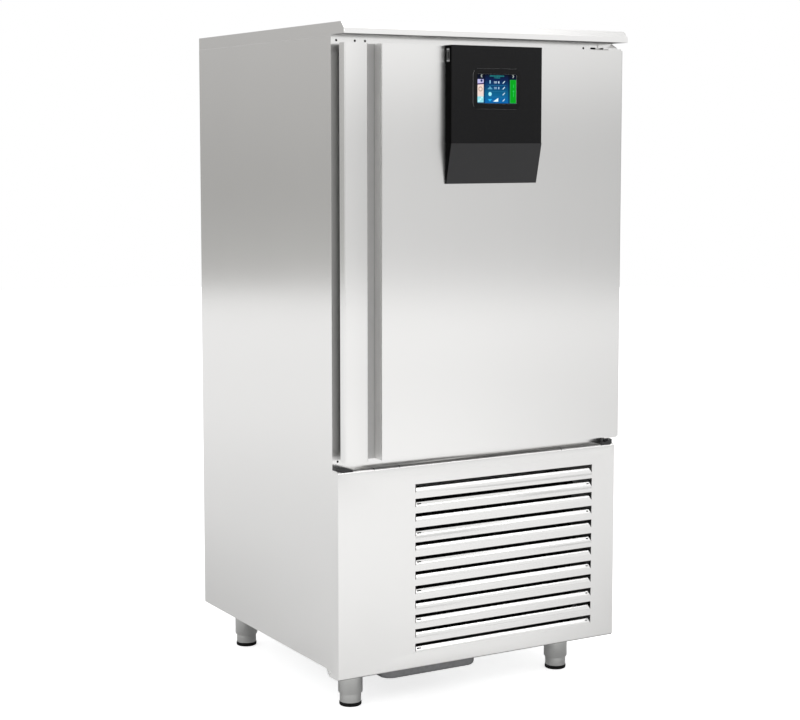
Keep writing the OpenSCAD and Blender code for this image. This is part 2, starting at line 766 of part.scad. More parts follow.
// Block over the lower panel's bend, for the left side: its top falls away from the cabinet's corner
module hinge_block() {
    front = -panel_proud + 1;
    intersection() {
        along_z(sill_h - panel_bend, hinge_top + 1) polygon(concat(
            [[-half_w, 0], [-half_w + hinge_w, 0], [-half_w + hinge_w - 3, front]],
            [for (k = [0:6]) [-half_w + hinge_r, front + hinge_r] - hinge_r * [sin(15 * k), cos(15 * k)]]));
        along_x(-half_w - 1, -half_w + hinge_w + 1) polygon(concat(
            [[0, hinge_top], [0, sill_h]],
            bend([0, sill_h], [-panel_proud, sill_h], [-panel_proud, panel_z0], panel_bend),
            [[-panel_proud, hinge_top]]));
        along_y(-panel_proud - 1, 1) polygon([[-half_w - 1, sill_h - panel_bend - 1], [-half_w - 1, hinge_top],
            [-half_w + hinge_r, hinge_top], [-half_w + hinge_w + 1, sill_h + 0.5],
            [-half_w + hinge_w + 1, sill_h - panel_bend - 1]]);
    }
}

// Bracket on the frame above the door, with a gusset and the upper pin
module top_hinge_bracket() color(dull_steel) at_frame() {
    leaf_z = door_z1 + hinge_t + clear;
    leaf_x0 = pin_x - 26;
    leaf_x1 = half_w - 3;
    block([leaf_x0, -pin_y - pin_r - 6, leaf_z], [leaf_x1, 0, leaf_z + hinge_t]);
    block([leaf_x0, -3, leaf_z], [leaf_x1, 0, nosing_z]);
    along_x(leaf_x1 - 3, leaf_x1) polygon([
        [0, leaf_z], [-pin_y - pin_r - 6, leaf_z], [-pin_y - pin_r - 6, leaf_z + hinge_t], [0, nosing_z]]);
    bar_z(pin_x, -pin_y, pin_r, door_z1 - 6, leaf_z + hinge_t + 1);
}

// Block under the door with the lower pin and the collar that carries the door
module bottom_hinge_bracket() color(black) at_frame() {
    mirror([1, 0, 0]) hinge_block();
    bar_z(pin_x, -pin_y, pin_r + 3, sill_h + 1, door_z0 - hinge_t - clear);
    bar_z(pin_x, -pin_y, pin_r, sill_h + 2, door_z0 + 6);
}

// The same block on the left, where the door would hang the other way
module spare_hinge_plate() color(black) at_frame() difference() {
    hinge_block();
    bar_z(-pin_x, -pin_y, pin_r, sill_h + 1.5, hinge_top + 1);
}

// ---- Control box ---------------------------------------------------------------------------------

// Upright housing with round edges, a closed top and a window for the screen
module control_housing() color(black) at_frame() {
    outline = bent([[box_x0, -door_face], [box_x0, box_face], [box_x1, box_face], [box_x1, -door_face]],
        box_edge_r);
    difference() {
        union() {
            along_z(box_z0, box_z1) folded(outline, box_wall);
            along_z(box_z1 - box_wall, box_z1) polygon(outline);
        }
        along_y(box_face - 1, box_face + box_wall + 1) rounded([screen_x0 - clear, screen_z0 - clear],
            [screen_x0 + screen_w + clear, screen_z0 + screen_h + clear], 2);
    }
}

// Lower cover, tapered back towards the door and open to the housing above it
module control_lower_cover() color(dark_grey) at_frame() {
    lean = (box_proud - box_toe) / box_taper_h;
    skin = box_wall * norm([1, lean]);
    toe = -door_face - box_toe;
    along_x(box_x0, box_x1) polygon([[-door_face, box_low], [toe, box_low], [box_face, box_z0],
        [box_face + skin, box_z0], [toe + skin - lean * box_wall, box_low + box_wall],
        [-door_face, box_low + box_wall]]);
    for (x = [box_x0, box_x1 - box_wall]) along_x(x, x + box_wall)
        polygon([[-door_face, box_low], [toe, box_low], [box_face, box_z0], [-door_face, box_z0]]);
}

// Raised frame round the screen
module screen_bezel() color("#0c0c0d") at_frame() difference() {
    along_y(box_face - bezel_proud, box_face)
        rounded([bezel_x0, bezel_low], [bezel_x0 + bezel_w, bezel_low + bezel_h], bezel_r);
    along_y(box_face - bezel_proud - 1, box_face + 1) rounded([screen_x0 - clear, screen_z0 - clear],
        [screen_x0 + screen_w + clear, screen_z0 + screen_h + clear], 2);
}

// Glass of the screen, let into the housing's window
module touch_screen() color("#173f86") at_frame() along_y(box_face - bezel_proud / 2, box_face + box_wall)
    rounded([screen_x0, screen_z0], [screen_x0 + screen_w, screen_z0 + screen_h], 2);

// Circuit board on the back of the screen, with spacers to the door
module control_board() color("#1f5a34") at_frame() {
    board_y = box_face + box_wall;
    board_x0 = screen_x0 - 8;
    board_x1 = screen_x0 + screen_w + 8;
    board_z0 = screen_z0 - 8;
    board_z1 = screen_z0 + screen_h + 8;
    block([board_x0, board_y, board_z0], [board_x1, board_y + 1.6, board_z1]);
    block([board_x0 + 12, board_y + 1.6, board_z0 + 12], [board_x0 + 50, board_y + 12, board_z0 + 34]);
    block([board_x1 - 46, board_y + 1.6, board_z1 - 40], [board_x1 - 14, board_y + 9, board_z1 - 14]);
    for (x = [board_x0 + 5, board_x1 - 5], z = [board_z0 + 5, board_z1 - 5])
        bar_y(x, z, 3, board_y + 1.6, -door_face);
}

// Cover of the service port on the control box's left side
module service_port() color(dull_steel) at_frame() along_x(box_x0 - 1, box_x0) difference() {
    port_y = -door_face - box_proud / 2;
    rounded([port_y - 6, box_z1 - 39], [port_y + 6, box_z1 - 7], 2);
    for (y = [port_y - 3.5, port_y + 3.5], z = [box_z1 - 36, box_z1 - 10])
        translate([y, z]) circle(1, $fn = 16);
    translate([port_y - 2.2, box_z1 - 30]) square([4.4, 14]);
}

// ---- Chamber fittings ----------------------------------------------------------------------------

// Channel posts on the chamber's side walls
module rack_posts() color(steel) at_frame() both_sides()
    for (y = [runner_y0 + 40, runner_y0 + runner_l - 60]) along_z(rack_z0, rack_z1)
        folded([[rack_web, y], [-chamber_w, y], [-chamber_w, y + 20], [rack_web, y + 20]], -1.5);

// Column of tray runners on the left posts, each with its leg hanging down
module tray_runners() color(steel) at_frame() for (i = [0:levels - 1]) {
    z = chamber_z0 + first_level + i * level_pitch;
    along_y(runner_y0, runner_y0 + runner_l)
        folded([[rack_web, z - 15], [rack_web, z], [rack_web + runner_w, z]], -1.5);
}

module tray_runners_left() tray_runners();

module tray_runners_right() mirror([1, 0, 0]) tray_runners();

// Sheet between the food and the evaporator, with a bell mouth for each fan and four hanging tabs
module evaporator_cover() color(steel) at_frame() difference() {
    cover_z0 = chamber_z0 + 30;
    cover_z1 = chamber_z1 - 14;
    union() {
        block([-cover_w / 2, cover_y, cover_z0], [cover_w / 2, cover_back, cover_z1]);
        both_sides() {
            tab_x = [60, 100] - [1, 1] * cover_w / 2;
            block([-cover_w / 2, cover_y, cover_z0], [-cover_w / 2 + cover_t, cover_y + 30, cover_z1]);
            block([tab_x[0], cover_y, chamber_z0], [tab_x[1], cover_back, chamber_z1]);
            block([tab_x[0], cover_y, chamber_z0], [tab_x[1], cover_y + 20, chamber_z0 + cover_t]);
            block([tab_x[0], cover_y, chamber_z1 - cover_t], [tab_x[1], cover_y + 20, chamber_z1]);
        }
        for (z = fan_spots) bar_y(0, z, mouth_r + cover_t, cover_y, cover_back + bell_d);
    }
    for (z = fan_spots) {
        bar_y(0, z, mouth_r, cover_y - 1, cover_back + bell_d + 1);
        translate([0, cover_y - 0.01, z]) rotate([-90, 0, 0])
            cylinder(h = 2, r1 = mouth_r + 1, r2 = mouth_r);
    }
}

// Finned coil between two end plates that stand on the rear wall
module evaporator_coil() color("#b9bcc0") at_frame() {
    along_z(coil_z0, coil_z0 + coil_h)
        fin_pack(-coil_w / 2, coil_w / 2, coil_y, coil_y + coil_d, fin_pitch, 0.8);
    for (s = [0, 1]) mirror([s, 0, 0]) {
        block([coil_w / 2 - 0.5, coil_y - 2, coil_z0 - 5],
            [coil_w / 2 + 1.5, chamber_back, coil_z0 + coil_h + 5]);
        return_bends(coil_w / 2 + 1.4, coil_y + coil_d / 4, coil_y + 3 * coil_d / 4,
            coil_z0, coil_z0 + coil_h, 10, 8);
    }
}

// Open pan under the coil, fixed to the rear wall
module evaporator_drain_pan() color(steel) at_frame() {
    pan_top = coil_z0 - 5;
    half = coil_w / 2 + 25;
    difference() {
        block([-half, coil_y - 8, pan_top - 1.2], [half, chamber_back, pan_top + 18]);
        block([-half + 1.2, coil_y - 6.8, pan_top], [half - 1.2, chamber_back - 1.2, pan_top + 19]);
        block([-coil_w / 2 - 2, coil_y - 6.8, pan_top], [coil_w / 2 + 2, chamber_back + 1, pan_top + 19]);
        bar_z(0, coil_y + 10, 7, pan_top - 2, pan_top + 1);
    }
    difference() {
        bar_z(0, coil_y + 10, 8.2, pan_top - 30, pan_top - 1);
        bar_z(0, coil_y + 10, 7, pan_top - 31, pan_top);
    }
}

module evaporator_fan_upper() color(dark_grey) at_frame() translate([0, rotor_y, fan_spots[0]])
    rotor(fan_d / 2, 34, rotor_d, 5, 4 + pin_play);

module evaporator_fan_lower() color(dark_grey) at_frame() translate([0, rotor_y, fan_spots[1]])
    rotor(fan_d / 2, 34, rotor_d, 5, 4 + pin_play);

// Motor with its shaft and four arms that reach forward to the sheet at y0
module fan_motor(r, length, shaft_r, arm_r, y0, back) {
    bar_y(0, 0, r, back, back + length);
    bar_y(0, 0, r - 4, back + length - 0.1, back + length + 3);
    bar_y(0, 0, shaft_r, back - 16, back + 1);
    for (k = [0:3]) rotate([0, 45 + 90 * k, 0]) {
        block([r - 2, back + 6, -6], [arm_r + 3, back + 9, 6]);
        block([arm_r, y0, -6], [arm_r + 3, back + 9, 6]);
    }
}

module evaporator_motors() color("#4a4d50") at_frame() for (z = fan_spots) translate([0, 0, z])
    fan_motor(34, motor_d - 3, 4, mouth_r + 8, cover_back, motor_y);

// Wire rings on crossed spokes in front of each fan
module fan_guards() color(dull_steel) at_frame() for (z = fan_spots) translate([0, cover_y, z]) {
    wire = 1.5;
    for (k = [0:3]) rotate([0, 45 * k, 0]) {
        bar_x(-wire - 0.1, 0, wire, -mouth_r - 7, mouth_r + 7);
        for (x = [-mouth_r - 5, mouth_r + 5]) bar_y(x, 0, wire + 1, -wire, 0);
    }
    for (i = [1:6]) rotate([90, 0, 0]) rotate_extrude($fn = 64)
        translate([i * (mouth_r + 4) / 6, 2.2 * wire + 0.1]) circle(wire, $fn = 16);
}

// ---- Machine compartment -------------------------------------------------------------------------

// Hermetic compressor: a seamed shell with domed ends on a foot plate and four rubber feet
module compressor() color("#2a2b2d") at_frame() translate([compressor_x, compressor_y, base_top]) {
    r = compressor_d / 2;
    dome = r * 0.45;
    shell_z = 26;
    rotate_extrude($fn = 64) polygon(concat([[0, shell_z]],
        [for (w = [0:15:90]) [r * sin(w), shell_z + dome * (1 - cos(w))]],
        [for (rim = [[0, 0], [4, 0], [4, 8], [0, 8]]) [r, compressor_h * 0.55] + rim],
        [for (w = [90:-15:0]) [r * sin(w), compressor_h - dome * (1 - cos(w))]]));
    difference() {
        along_z(14, 18) rounded([-r - 12, -r - 12], [r + 12, r + 12], 14);
        for (x = [-r, r], y = [-r, r]) translate([x, y, 13]) cylinder(h = 6, r = 8);
    }
    block([-r * 0.6, -r * 0.6, 17], [r * 0.6, r * 0.6, shell_z + dome]);
    for (x = [-r, r], y = [-r, r]) translate([x, y, 0]) {
        cylinder(h = 24, r = 8);
        cylinder(h = 14, r = 13);
    }
    translate([r - 12, -34, compressor_h * 0.28]) cube([44, 68, 70]);
    for (x = [-stub_x, stub_x]) translate([x, 0, compressor_h - dome]) cylinder(h = dome + 10, r = 8);
}

// Finned condenser between end plates that stand on the base
module condenser_coil() color("#a9adb2") at_frame() {
    x0 = condenser_x - condenser_w / 2;
    x1 = condenser_x + condenser_w / 2;
    along_z(condenser_z0, condenser_z0 + condenser_h)
        fin_pack(x0, x1, condenser_y, condenser_y + condenser_d, fin_pitch * 0.7, 0.8);
    for (x = [x0 - 1.5, x1 - 0.5]) block([x, condenser_y - 2, base_top],
        [x + 2, condenser_y + condenser_d, condenser_z0 + condenser_h + 4]);
    return_bends(x1 + 1.4, condenser_y + condenser_d / 4, condenser_y + 3 * condenser_d / 4,
        condenser_z0, condenser_z0 + condenser_h, 9, 6);
    for (z = condenser_ports) bar_x(condenser_y + condenser_d / 2, z, 7, x0 - 14, x0);
}

// Duct from the condenser to its fan, with a round mouth
module condenser_shroud() color(dull_steel) at_frame() difference() {
    x0 = condenser_x - condenser_w / 2 - 1.5;
    x1 = condenser_x + condenser_w / 2 + 1.5;
    z1 = condenser_z0 + condenser_h + 4;
    union() {
        block([x0, shroud_y, base_top], [x1, shroud_y + shroud_d, z1]);
        bar_y(condenser_x, condenser_mid, cmouth_r + 2, shroud_y + 6, shroud_y + shroud_d + 6);
    }
    block([x0 + 1.5, shroud_y - 1, base_top + 1.5], [x1 - 1.5, shroud_y + shroud_d - 1.5, z1 - 1.5]);
    bar_y(condenser_x, condenser_mid, cmouth_r, shroud_y - 1, shroud_y + shroud_d + 7);
}

module condenser_fan() color("#8d9196") at_frame() translate([condenser_x, cfan_y, condenser_mid])
    rotor(condenser_fan_d / 2, 44, cfan_d, 5, 5 + pin_play);

module condenser_motor() color("#3a3c3f") at_frame() translate([condenser_x, 0, condenser_mid])
    fan_motor(42, 60, 5, cmouth_r + 8, shroud_y + shroud_d, cmotor_y);

// Upright liquid receiver with domed ends and a ring foot
module liquid_receiver() color("#2a2b2d") at_frame() translate([receiver_x, receiver_y, base_top]) {
    r = 52;
    rotate_extrude($fn = 64) polygon(concat([[0, 14]],
        [for (w = [0:15:90]) [r * sin(w), 14 + 22 * (1 - cos(w))]],
        [for (w = [90:-15:0]) [r * sin(w), receiver_h - 8 - 22 * (1 - cos(w))]]));
    difference() {
        cylinder(h = 30, r = r - 4);
        translate([0, 0, -1]) cylinder(h = 40, r = r - 7);
    }
    for (y = [-18, 18]) translate([0, y, receiver_h - 40]) cylinder(h = 40, r = 7);
}

// Filter drier on its post, with a stub at each end
module filter_drier() color("#7a5a3a") at_frame() {
    translate([drier_x, drier_y, drier_z]) rotate_extrude($fn = 48) polygon([[0, -14], [6, -14], [6, 0],
        [26, 14], [26, drier_l - 14], [6, drier_l], [6, drier_l + 14], [0, drier_l + 14]]);
    block([drier_x - 10, drier_y + 24, base_top], [drier_x + 10, drier_y + 27, drier_z + drier_l - 30]);
    block([drier_x - 10, drier_y + 24, base_top], [drier_x + 10, drier_y + 50, base_top + 3]);
}

// Copper lines between the compressor, condenser, receiver, drier and the insulated body
module refrigerant_pipes() color(copper) at_frame() {
    port_x = condenser_x - condenser_w / 2 - 14;
    port_y = condenser_y + condenser_d / 2;
    high = sill_h - 40;
    pipe_run([[compressor_x + stub_x, compressor_y, stub_top], [compressor_x + stub_x, compressor_y, high - 20],
        [port_x - 30, compressor_y, high - 20], [port_x - 30, port_y, high - 20],
        [port_x - 30, port_y, condenser_ports[0]], [port_x, port_y, condenser_ports[0]]], 10);
    pipe_run([[port_x, port_y, condenser_ports[1]], [port_x - 20, port_y, condenser_ports[1]],
        [port_x - 20, 320, condenser_ports[1]], [receiver_x, 320, condenser_ports[1]],
        [receiver_x, 320, receiver_top + 40], [receiver_x, receiver_y - 18, receiver_top + 40],
        [receiver_x, receiver_y - 18, receiver_top]], 10);
    pipe_run([[receiver_x, receiver_y + 18, receiver_top], [receiver_x, receiver_y + 18, receiver_top + 70],
        [drier_x, drier_y, receiver_top + 70], [drier_x, drier_y, drier_z + drier_l + 14]], 10);
    pipe_run([[drier_x, drier_y, drier_z - 14], [drier_x, drier_y, drier_z - 40],
        [drier_x + 50, drier_y, drier_z - 40], [drier_x + 50, drier_y, sill_h]], 8);
    pipe_run([[compressor_x - stub_x, compressor_y, stub_top], [compressor_x - stub_x, compressor_y, high],
        [compressor_x - stub_x, compressor_y + 120, high], [-60, compressor_y + 120, high],
        [-60, compressor_y + 120, sill_h]], 16);
}

// Electrical box on the left side panel, with its lid and hollow cable entries
module electrical_box() color("#d8d8d4") at_frame() difference() {
    low = [-in_w, ebox_y, ebox_z];
    high = low + [ebox_w, ebox_l, ebox_h];
    entry_y = high.y - 40;
    union() {
        block(low, high);
        block([high.x - 1.5, low.y + 4, low.z + 4], [high.x + 1.5, high.y - 4, high.z - 4]);
        for (i = [0:3]) bar_z(low.x + (i + 1) * ebox_w / 5, entry_y, 8, ebox_z - 10, ebox_z + 1);
    }
    block(low + [1.5, 1.5, 1.5], high - [1.5, 1.5, 1.5]);
    for (i = [0:3]) bar_z(low.x + (i + 1) * ebox_w / 5, entry_y, 5, ebox_z - 11, ebox_z + 2);
}

// Rubber grommet where the mains lead would enter
module cable_grommet() color(black) at_frame() difference() {
    union() {
        bar_y(grommet_x, grommet_z, grommet_r - 0.1, in_back - 3, cabinet_d + 1);
        bar_y(grommet_x, grommet_z, grommet_r + 4, cabinet_d, cabinet_d + rear_proud);
        bar_y(grommet_x, grommet_z, grommet_r + 4, in_back - 3, in_back);
    }
    bar_y(grommet_x, grommet_z, 5, in_back - 4, cabinet_d + rear_proud + 1);
}

// ---- Underneath ----------------------------------------------------------------------------------

// Outline of the drip tray, moved in by an inset
module tray_outline(inset) rounded([tray_x0 + inset, tray_y + inset],
    [tray_x1 - inset, tray_y + tray_d - inset], tray_r - inset);

// Round-bottomed tub, moved in by t
module tray_tub(t, top) hull() for (w = [0:30:90]) {
    z = tray_z0 + t + (8 - t) * (1 - sin(w));
    along_z(z, w == 0 ? top : z + 0.1) tray_outline(t + (8 - t) * (1 - cos(w)));
}

// Drip tray with a rim that rides on its rails
module drip_tray() color("#8b8d8f") at_frame() difference() {
    union() {
        tray_tub(0, tray_z1);
        along_z(tray_z1 - tray_t, tray_z1) rounded([tray_x0 - tray_rim, tray_y - 4],
            [tray_x1 + tray_rim, tray_y + tray_d + tray_rim], tray_r / 3);
    }
    tray_tub(tray_t, tray_z1 + 1);
}

// Two folded rails under the base that carry the tray's rim
module drip_tray_rails() color(dull_steel) at_frame() {
    lip_z = tray_z1 - tray_t - tray_play;
    for (rail = [[tray_x0, 1], [tray_x1, -1]]) {
        web = rail[0] - rail[1] * (tray_rim + tray_play);
        along_y(tray_y + 3, tray_y + tray_d + 14) folded([
            [web - rail[1] * 9, base_z], [web, base_z], [web, lip_z], [rail[0] - rail[1] * 1.5, lip_z]],
            -rail[1] * 1.2);
    }
}

// Draws its children at a foot, given by its side and its distance from the front frame
module at_foot(side, y) at_frame() translate([side * foot_span, y, 0]) children();

// Fixed sleeve with a chamfered lower edge and a closed top
module leg_sleeve() rotate_extrude($fn = 96) {
    r = sleeve_d / 2;
    bore = foot_d / 2 + foot_play;
    polygon([[bore, sleeve_z], [r - 2, sleeve_z], [r, sleeve_z + 3], [r, base_z], [0, base_z],
        [0, base_z - 4], [bore, base_z - 4]]);
}

module leg_sleeves() color(dull_steel)
    for (s = [-1, 1], y = [foot_front_y, foot_rear]) at_foot(s, y) leg_sleeve();

// Tube that slides in the sleeve and stands on the pad
module foot_tube() rotate_extrude($fn = 96) polygon([[0, pad_h], [foot_d / 2, pad_h],
    [foot_d / 2, foot_top - 1.5], [foot_d / 2 - 1.5, foot_top], [foot_d / 2 - 4, foot_top],
    [foot_d / 2 - 4, pad_h + 10], [0, pad_h + 10]]);

// Rubber pad with a rounded lower edge
module foot_pad() rotate_extrude($fn = 96) polygon([[0, 0], [pad_d / 2 - 2, 0], [pad_d / 2 - 0.6, 0.8],
    [pad_d / 2, 2.4], [pad_d / 2, pad_h - 1], [pad_d / 2 - 1, pad_h], [0, pad_h]]);

module foot_front_left() color(dull_steel) at_foot(-1, foot_front_y) foot_tube();
module foot_front_right() color(dull_steel) at_foot(1, foot_front_y) foot_tube();
module foot_rear_left() color(dull_steel) at_foot(-1, foot_rear) foot_tube();
module foot_rear_right() color(dull_steel) at_foot(1, foot_rear) foot_tube();
module pad_front_left() color(black) at_foot(-1, foot_front_y) foot_pad();
module pad_front_right() color(black) at_foot(1, foot_front_y) foot_pad();
module pad_rear_left() color(black) at_foot(-1, foot_rear) foot_pad();
module pad_rear_right() color(black) at_foot(1, foot_rear) foot_pad();

// ---- The parts -----------------------------------------------------------------------------------

worktop();
left_side_panel();
right_side_panel();
rear_panel();
rear_vent_panel();
casing_screws();
front_frame();
lower_front_panel();
base_plate();
deck();
chamber_liner();
break_strip();
cabinet_insulation();
drain_pipe();
door_shell();
door_pan();
door_insulation();
door_gasket();
door_hinge_plates();
control_housing();
control_lower_cover();
screen_bezel();
touch_screen();
control_board();
service_port();
top_hinge_bracket();
bottom_hinge_bracket();
spare_hinge_plate();
rack_posts();
tray_runners_left();
tray_runners_right();
evaporator_cover();
evaporator_coil();
evaporator_drain_pan();
evaporator_fan_upper();
evaporator_fan_lower();
evaporator_motors();
fan_guards();
compressor();
condenser_coil();
condenser_shroud();
condenser_fan();
condenser_motor();
liquid_receiver();
filter_drier();
refrigerant_pipes();
electrical_box();
cable_grommet();
drip_tray();
drip_tray_rails();
leg_sleeves();
foot_front_left();
foot_front_right();
foot_rear_left();
foot_rear_right();
pad_front_left();
pad_front_right();
pad_rear_left();
pad_rear_right();
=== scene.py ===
"""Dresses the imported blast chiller: formed sheets with small bend radii, a bellows gasket, screws, the lit
touch screen, the finishes of every surface, and a plain studio."""
import json
import math

import bmesh
import bpy
import numpy as np
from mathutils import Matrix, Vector


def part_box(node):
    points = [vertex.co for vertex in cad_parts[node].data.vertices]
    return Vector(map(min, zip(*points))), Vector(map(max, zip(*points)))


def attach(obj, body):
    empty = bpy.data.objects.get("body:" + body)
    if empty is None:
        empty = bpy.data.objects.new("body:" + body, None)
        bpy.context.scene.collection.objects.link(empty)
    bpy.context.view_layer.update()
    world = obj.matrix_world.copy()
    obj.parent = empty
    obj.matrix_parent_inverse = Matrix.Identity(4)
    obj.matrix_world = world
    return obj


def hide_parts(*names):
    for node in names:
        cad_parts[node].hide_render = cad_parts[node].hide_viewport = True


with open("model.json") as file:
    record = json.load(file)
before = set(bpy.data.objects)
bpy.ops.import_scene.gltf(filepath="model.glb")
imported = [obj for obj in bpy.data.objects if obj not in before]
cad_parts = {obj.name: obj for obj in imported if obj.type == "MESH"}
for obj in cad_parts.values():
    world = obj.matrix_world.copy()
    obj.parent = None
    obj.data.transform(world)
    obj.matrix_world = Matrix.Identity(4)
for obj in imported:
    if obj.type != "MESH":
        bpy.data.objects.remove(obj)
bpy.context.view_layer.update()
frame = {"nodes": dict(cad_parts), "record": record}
bodies = frame["record"]["behaviour"]["bodies"]
body_of_node = {node: body for body, nodes in bodies.items() for node in nodes}
slot_of_node = {part["node"]: part["material_slot"] for part in frame["record"]["subparts"]}

MM = 0.001
FRONT = -0.3257          # Y of the front frame: the source measures every depth from there


# ---- Camera -----------------------------------------------------------------------------------------

def set_camera():
    """Camera at the photograph's place: the part's corners are fitted to its perspective by least squares."""
    right_turn, down_tilt = math.radians(30.108), math.radians(5.547)
    data = bpy.data.cameras.new("studio_camera")
    data.sensor_width, data.lens, data.shift_y = 36, 79.051, -0.06
    data.clip_end = 200
    camera = bpy.data.objects.new("studio_camera", data)
    camera.location = (-2.2699, -3.8709, 1.3520)
    camera.rotation_euler = (math.pi / 2 - down_tilt, 0, -right_turn)
    bpy.context.scene.collection.objects.link(camera)
    bpy.context.scene.camera = camera


# ---- Node trees -------------------------------------------------------------------------------------

class Reading:
    """One output socket of a node tree. Sums, differences, products and quotients add Math nodes."""

    def __init__(self, tree, socket):
        self.tree, self.socket = tree, socket

    def math(self, operation, *others):
        return self.tree.node("ShaderNodeMath", {"operation": operation}, dict(enumerate((self, *others))))

    def __add__(self, other): return self.math("ADD", other)
    __radd__ = __add__
    def __mul__(self, other): return self.math("MULTIPLY", other)
    __rmul__ = __mul__
    def __sub__(self, other): return self.math("SUBTRACT", other)
    def __truediv__(self, other): return self.math("DIVIDE", other)
    def __neg__(self): return self.math("MULTIPLY", -1)
    def __rsub__(self, other): return self.tree.node("ShaderNodeMath", {"operation": "SUBTRACT"},
                                                     {0: other, 1: self})

    def above(self, edge, soft=0.0):
        """1 where the value is over an edge, or a smooth rise that is soft wide on both sides of it."""
        if not soft:
            return self.math("GREATER_THAN", edge)
        return self.tree.node("ShaderNodeMapRange", {"interpolation_type": "SMOOTHSTEP"},
                              {0: self, 1: edge - soft, 2: edge + soft, 3: 0.0, 4: 1.0})


class Tree:
    """A node tree that is built with one method."""

    def __init__(self, tree):
        self.tree = tree
        tree.nodes.clear()

    def node(self, kind, settings=None, inputs=None, output=0):
        """Adds a node: its settings first, then the values or links of its sockets."""
        made = self.tree.nodes.new(kind)
        for name, value in (settings or {}).items():
            if name == "stops":
                ramp = made.color_ramp
                while len(ramp.elements) < len(value):
                    ramp.elements.new(0.5)
                for element, (place, colour) in zip(ramp.elements, value):
                    element.position = place
                    element.color = (*colour, 1)
            else:
                setattr(made, name, value)
        for name, value in (inputs or {}).items():
            self.feed(made.inputs[name], value)
        return Reading(self, made.outputs[output])

    def feed(self, socket, value):
        """Links a reading to a socket, or sets the socket's own value. A colour is three numbers."""
        if isinstance(value, Reading):
            self.tree.links.new(value.socket, socket)
        else:
            socket.default_value = (*value, 1) if socket.type == "RGBA" else value

    def part(self, vector, which):
        """The X, Y or Z of a vector."""
        return self.node("ShaderNodeSeparateXYZ", None, {0: vector}, output=which)

    def rays(self):
        """Three readings that are 1 on camera rays, on glossy rays and on transmission rays."""
        path = self.node("ShaderNodeLightPath").socket.node
        return [Reading(self, path.outputs[f"Is {kind} Ray"]) for kind in ("Camera", "Glossy", "Transmission")]

    def blend(self, factor, low, high):
        """Colour low where the factor is 0 and high where it is 1. A Mix node's colours are sockets 6 and 7,
        and its output 2."""
        return self.node("ShaderNodeMix", {"data_type": "RGBA"}, {0: factor, 6: low, 7: high}, output=2)

    def shade(self, colour, factor):
        """A colour, or a reading of one, made darker or lighter by a factor."""
        return self.node("ShaderNodeVectorMath", {"operation": "SCALE"}, {0: colour, "Scale": factor})


class Finish(Tree):
    """A material with one Principled shader. Constants sit on the shader's own sockets."""

    def __init__(self, name, **constants):
        self.material = bpy.data.materials.new(name)
        self.material.use_nodes = True
        super().__init__(self.material.node_tree)
        self.shader = self.tree.nodes.new("ShaderNodeBsdfPrincipled")
        output = self.tree.nodes.new("ShaderNodeOutputMaterial")
        self.tree.links.new(self.shader.outputs[0], output.inputs[0])
        self.set(**constants)

    def set(self, **sockets):
        """Sets or links sockets of the shader, named with underscores for spaces."""
        for name, value in sockets.items():
            self.feed(self.shader.inputs[name.replace("_", " ")], value)

    def place(self, scale=(1, 1, 1), move=(0, 0, 0)):
        """Object coordinates in metres, scaled and moved by a Mapping node."""
        spot = self.node("ShaderNodeTexCoord", output="Object")
        return self.node("ShaderNodeMapping", {"vector_type": "POINT"},
                         {"Vector": spot, "Location": move, "Scale": scale})

    def axis(self, which):
        """One Object coordinate in millimetres."""
        return self.part(self.node("ShaderNodeTexCoord", output="Object"), which) * 1000

    def noise(self, scale=(1, 1, 1), detail=2.0, rough=0.5, **mapping):
        """Noise between about 0 and 1 whose cells are 1 / scale metres wide."""
        return self.node("ShaderNodeTexNoise", None, {"Vector": self.place(scale, **mapping), "Scale": 1.0,
                                                      "Detail": detail, "Roughness": rough})

    def bump(self, height, distance):
        """Links a relief of that many millimetres to the shader's Normal."""
        self.set(Normal=self.node("ShaderNodeBump", None, {"Height": height, "Distance": distance * MM,
                                                           "Strength": 1.0}))


# ---- Finishes ---------------------------------------------------------------------------------------

def brushed_steel(name, tone, rough, grain, depth=0.004, streaks=0.04, spread=0.0, shaded=None):
    """Steel ground along a direction. Fine lines and slow bands run along the grain; a cloudy layer stands for
    handling marks. grain holds how fast the pattern changes along X, Y and Z, in cells a metre. spread is the
    anisotropy, and shaded gives a factor for the tone and a rise of the roughness in sheltered places."""
    f = Finish(name, Metallic=1.0, Anisotropic=spread)
    fine = f.noise(grain, detail=3.0, rough=0.6)
    band = f.noise(tuple(g * 0.16 for g in grain), detail=2.0, rough=0.5, move=(3.1, 1.7, 0.4))
    cloud = f.noise((3.0, 3.0, 3.0), detail=3.0, rough=0.55)
    level = (fine - 0.5) * streaks + (band - 0.5) * (streaks * 0.8) + (cloud - 0.5) * 0.03 + 1.0
    gloss = (fine - 0.5) * (streaks * 1.5) + (band - 0.5) * streaks + (cloud - 0.5) * 0.03 + rough
    if shaded:
        # shaded paints light and shade into the tone by place; the rise only changes the roughness.
        share, rise = shaded(f)
        level, gloss = level * share, gloss + rise
    f.set(Base_Color=f.shade(tone, level), Roughness=gloss)
    f.bump(fine, depth)
    return f.material


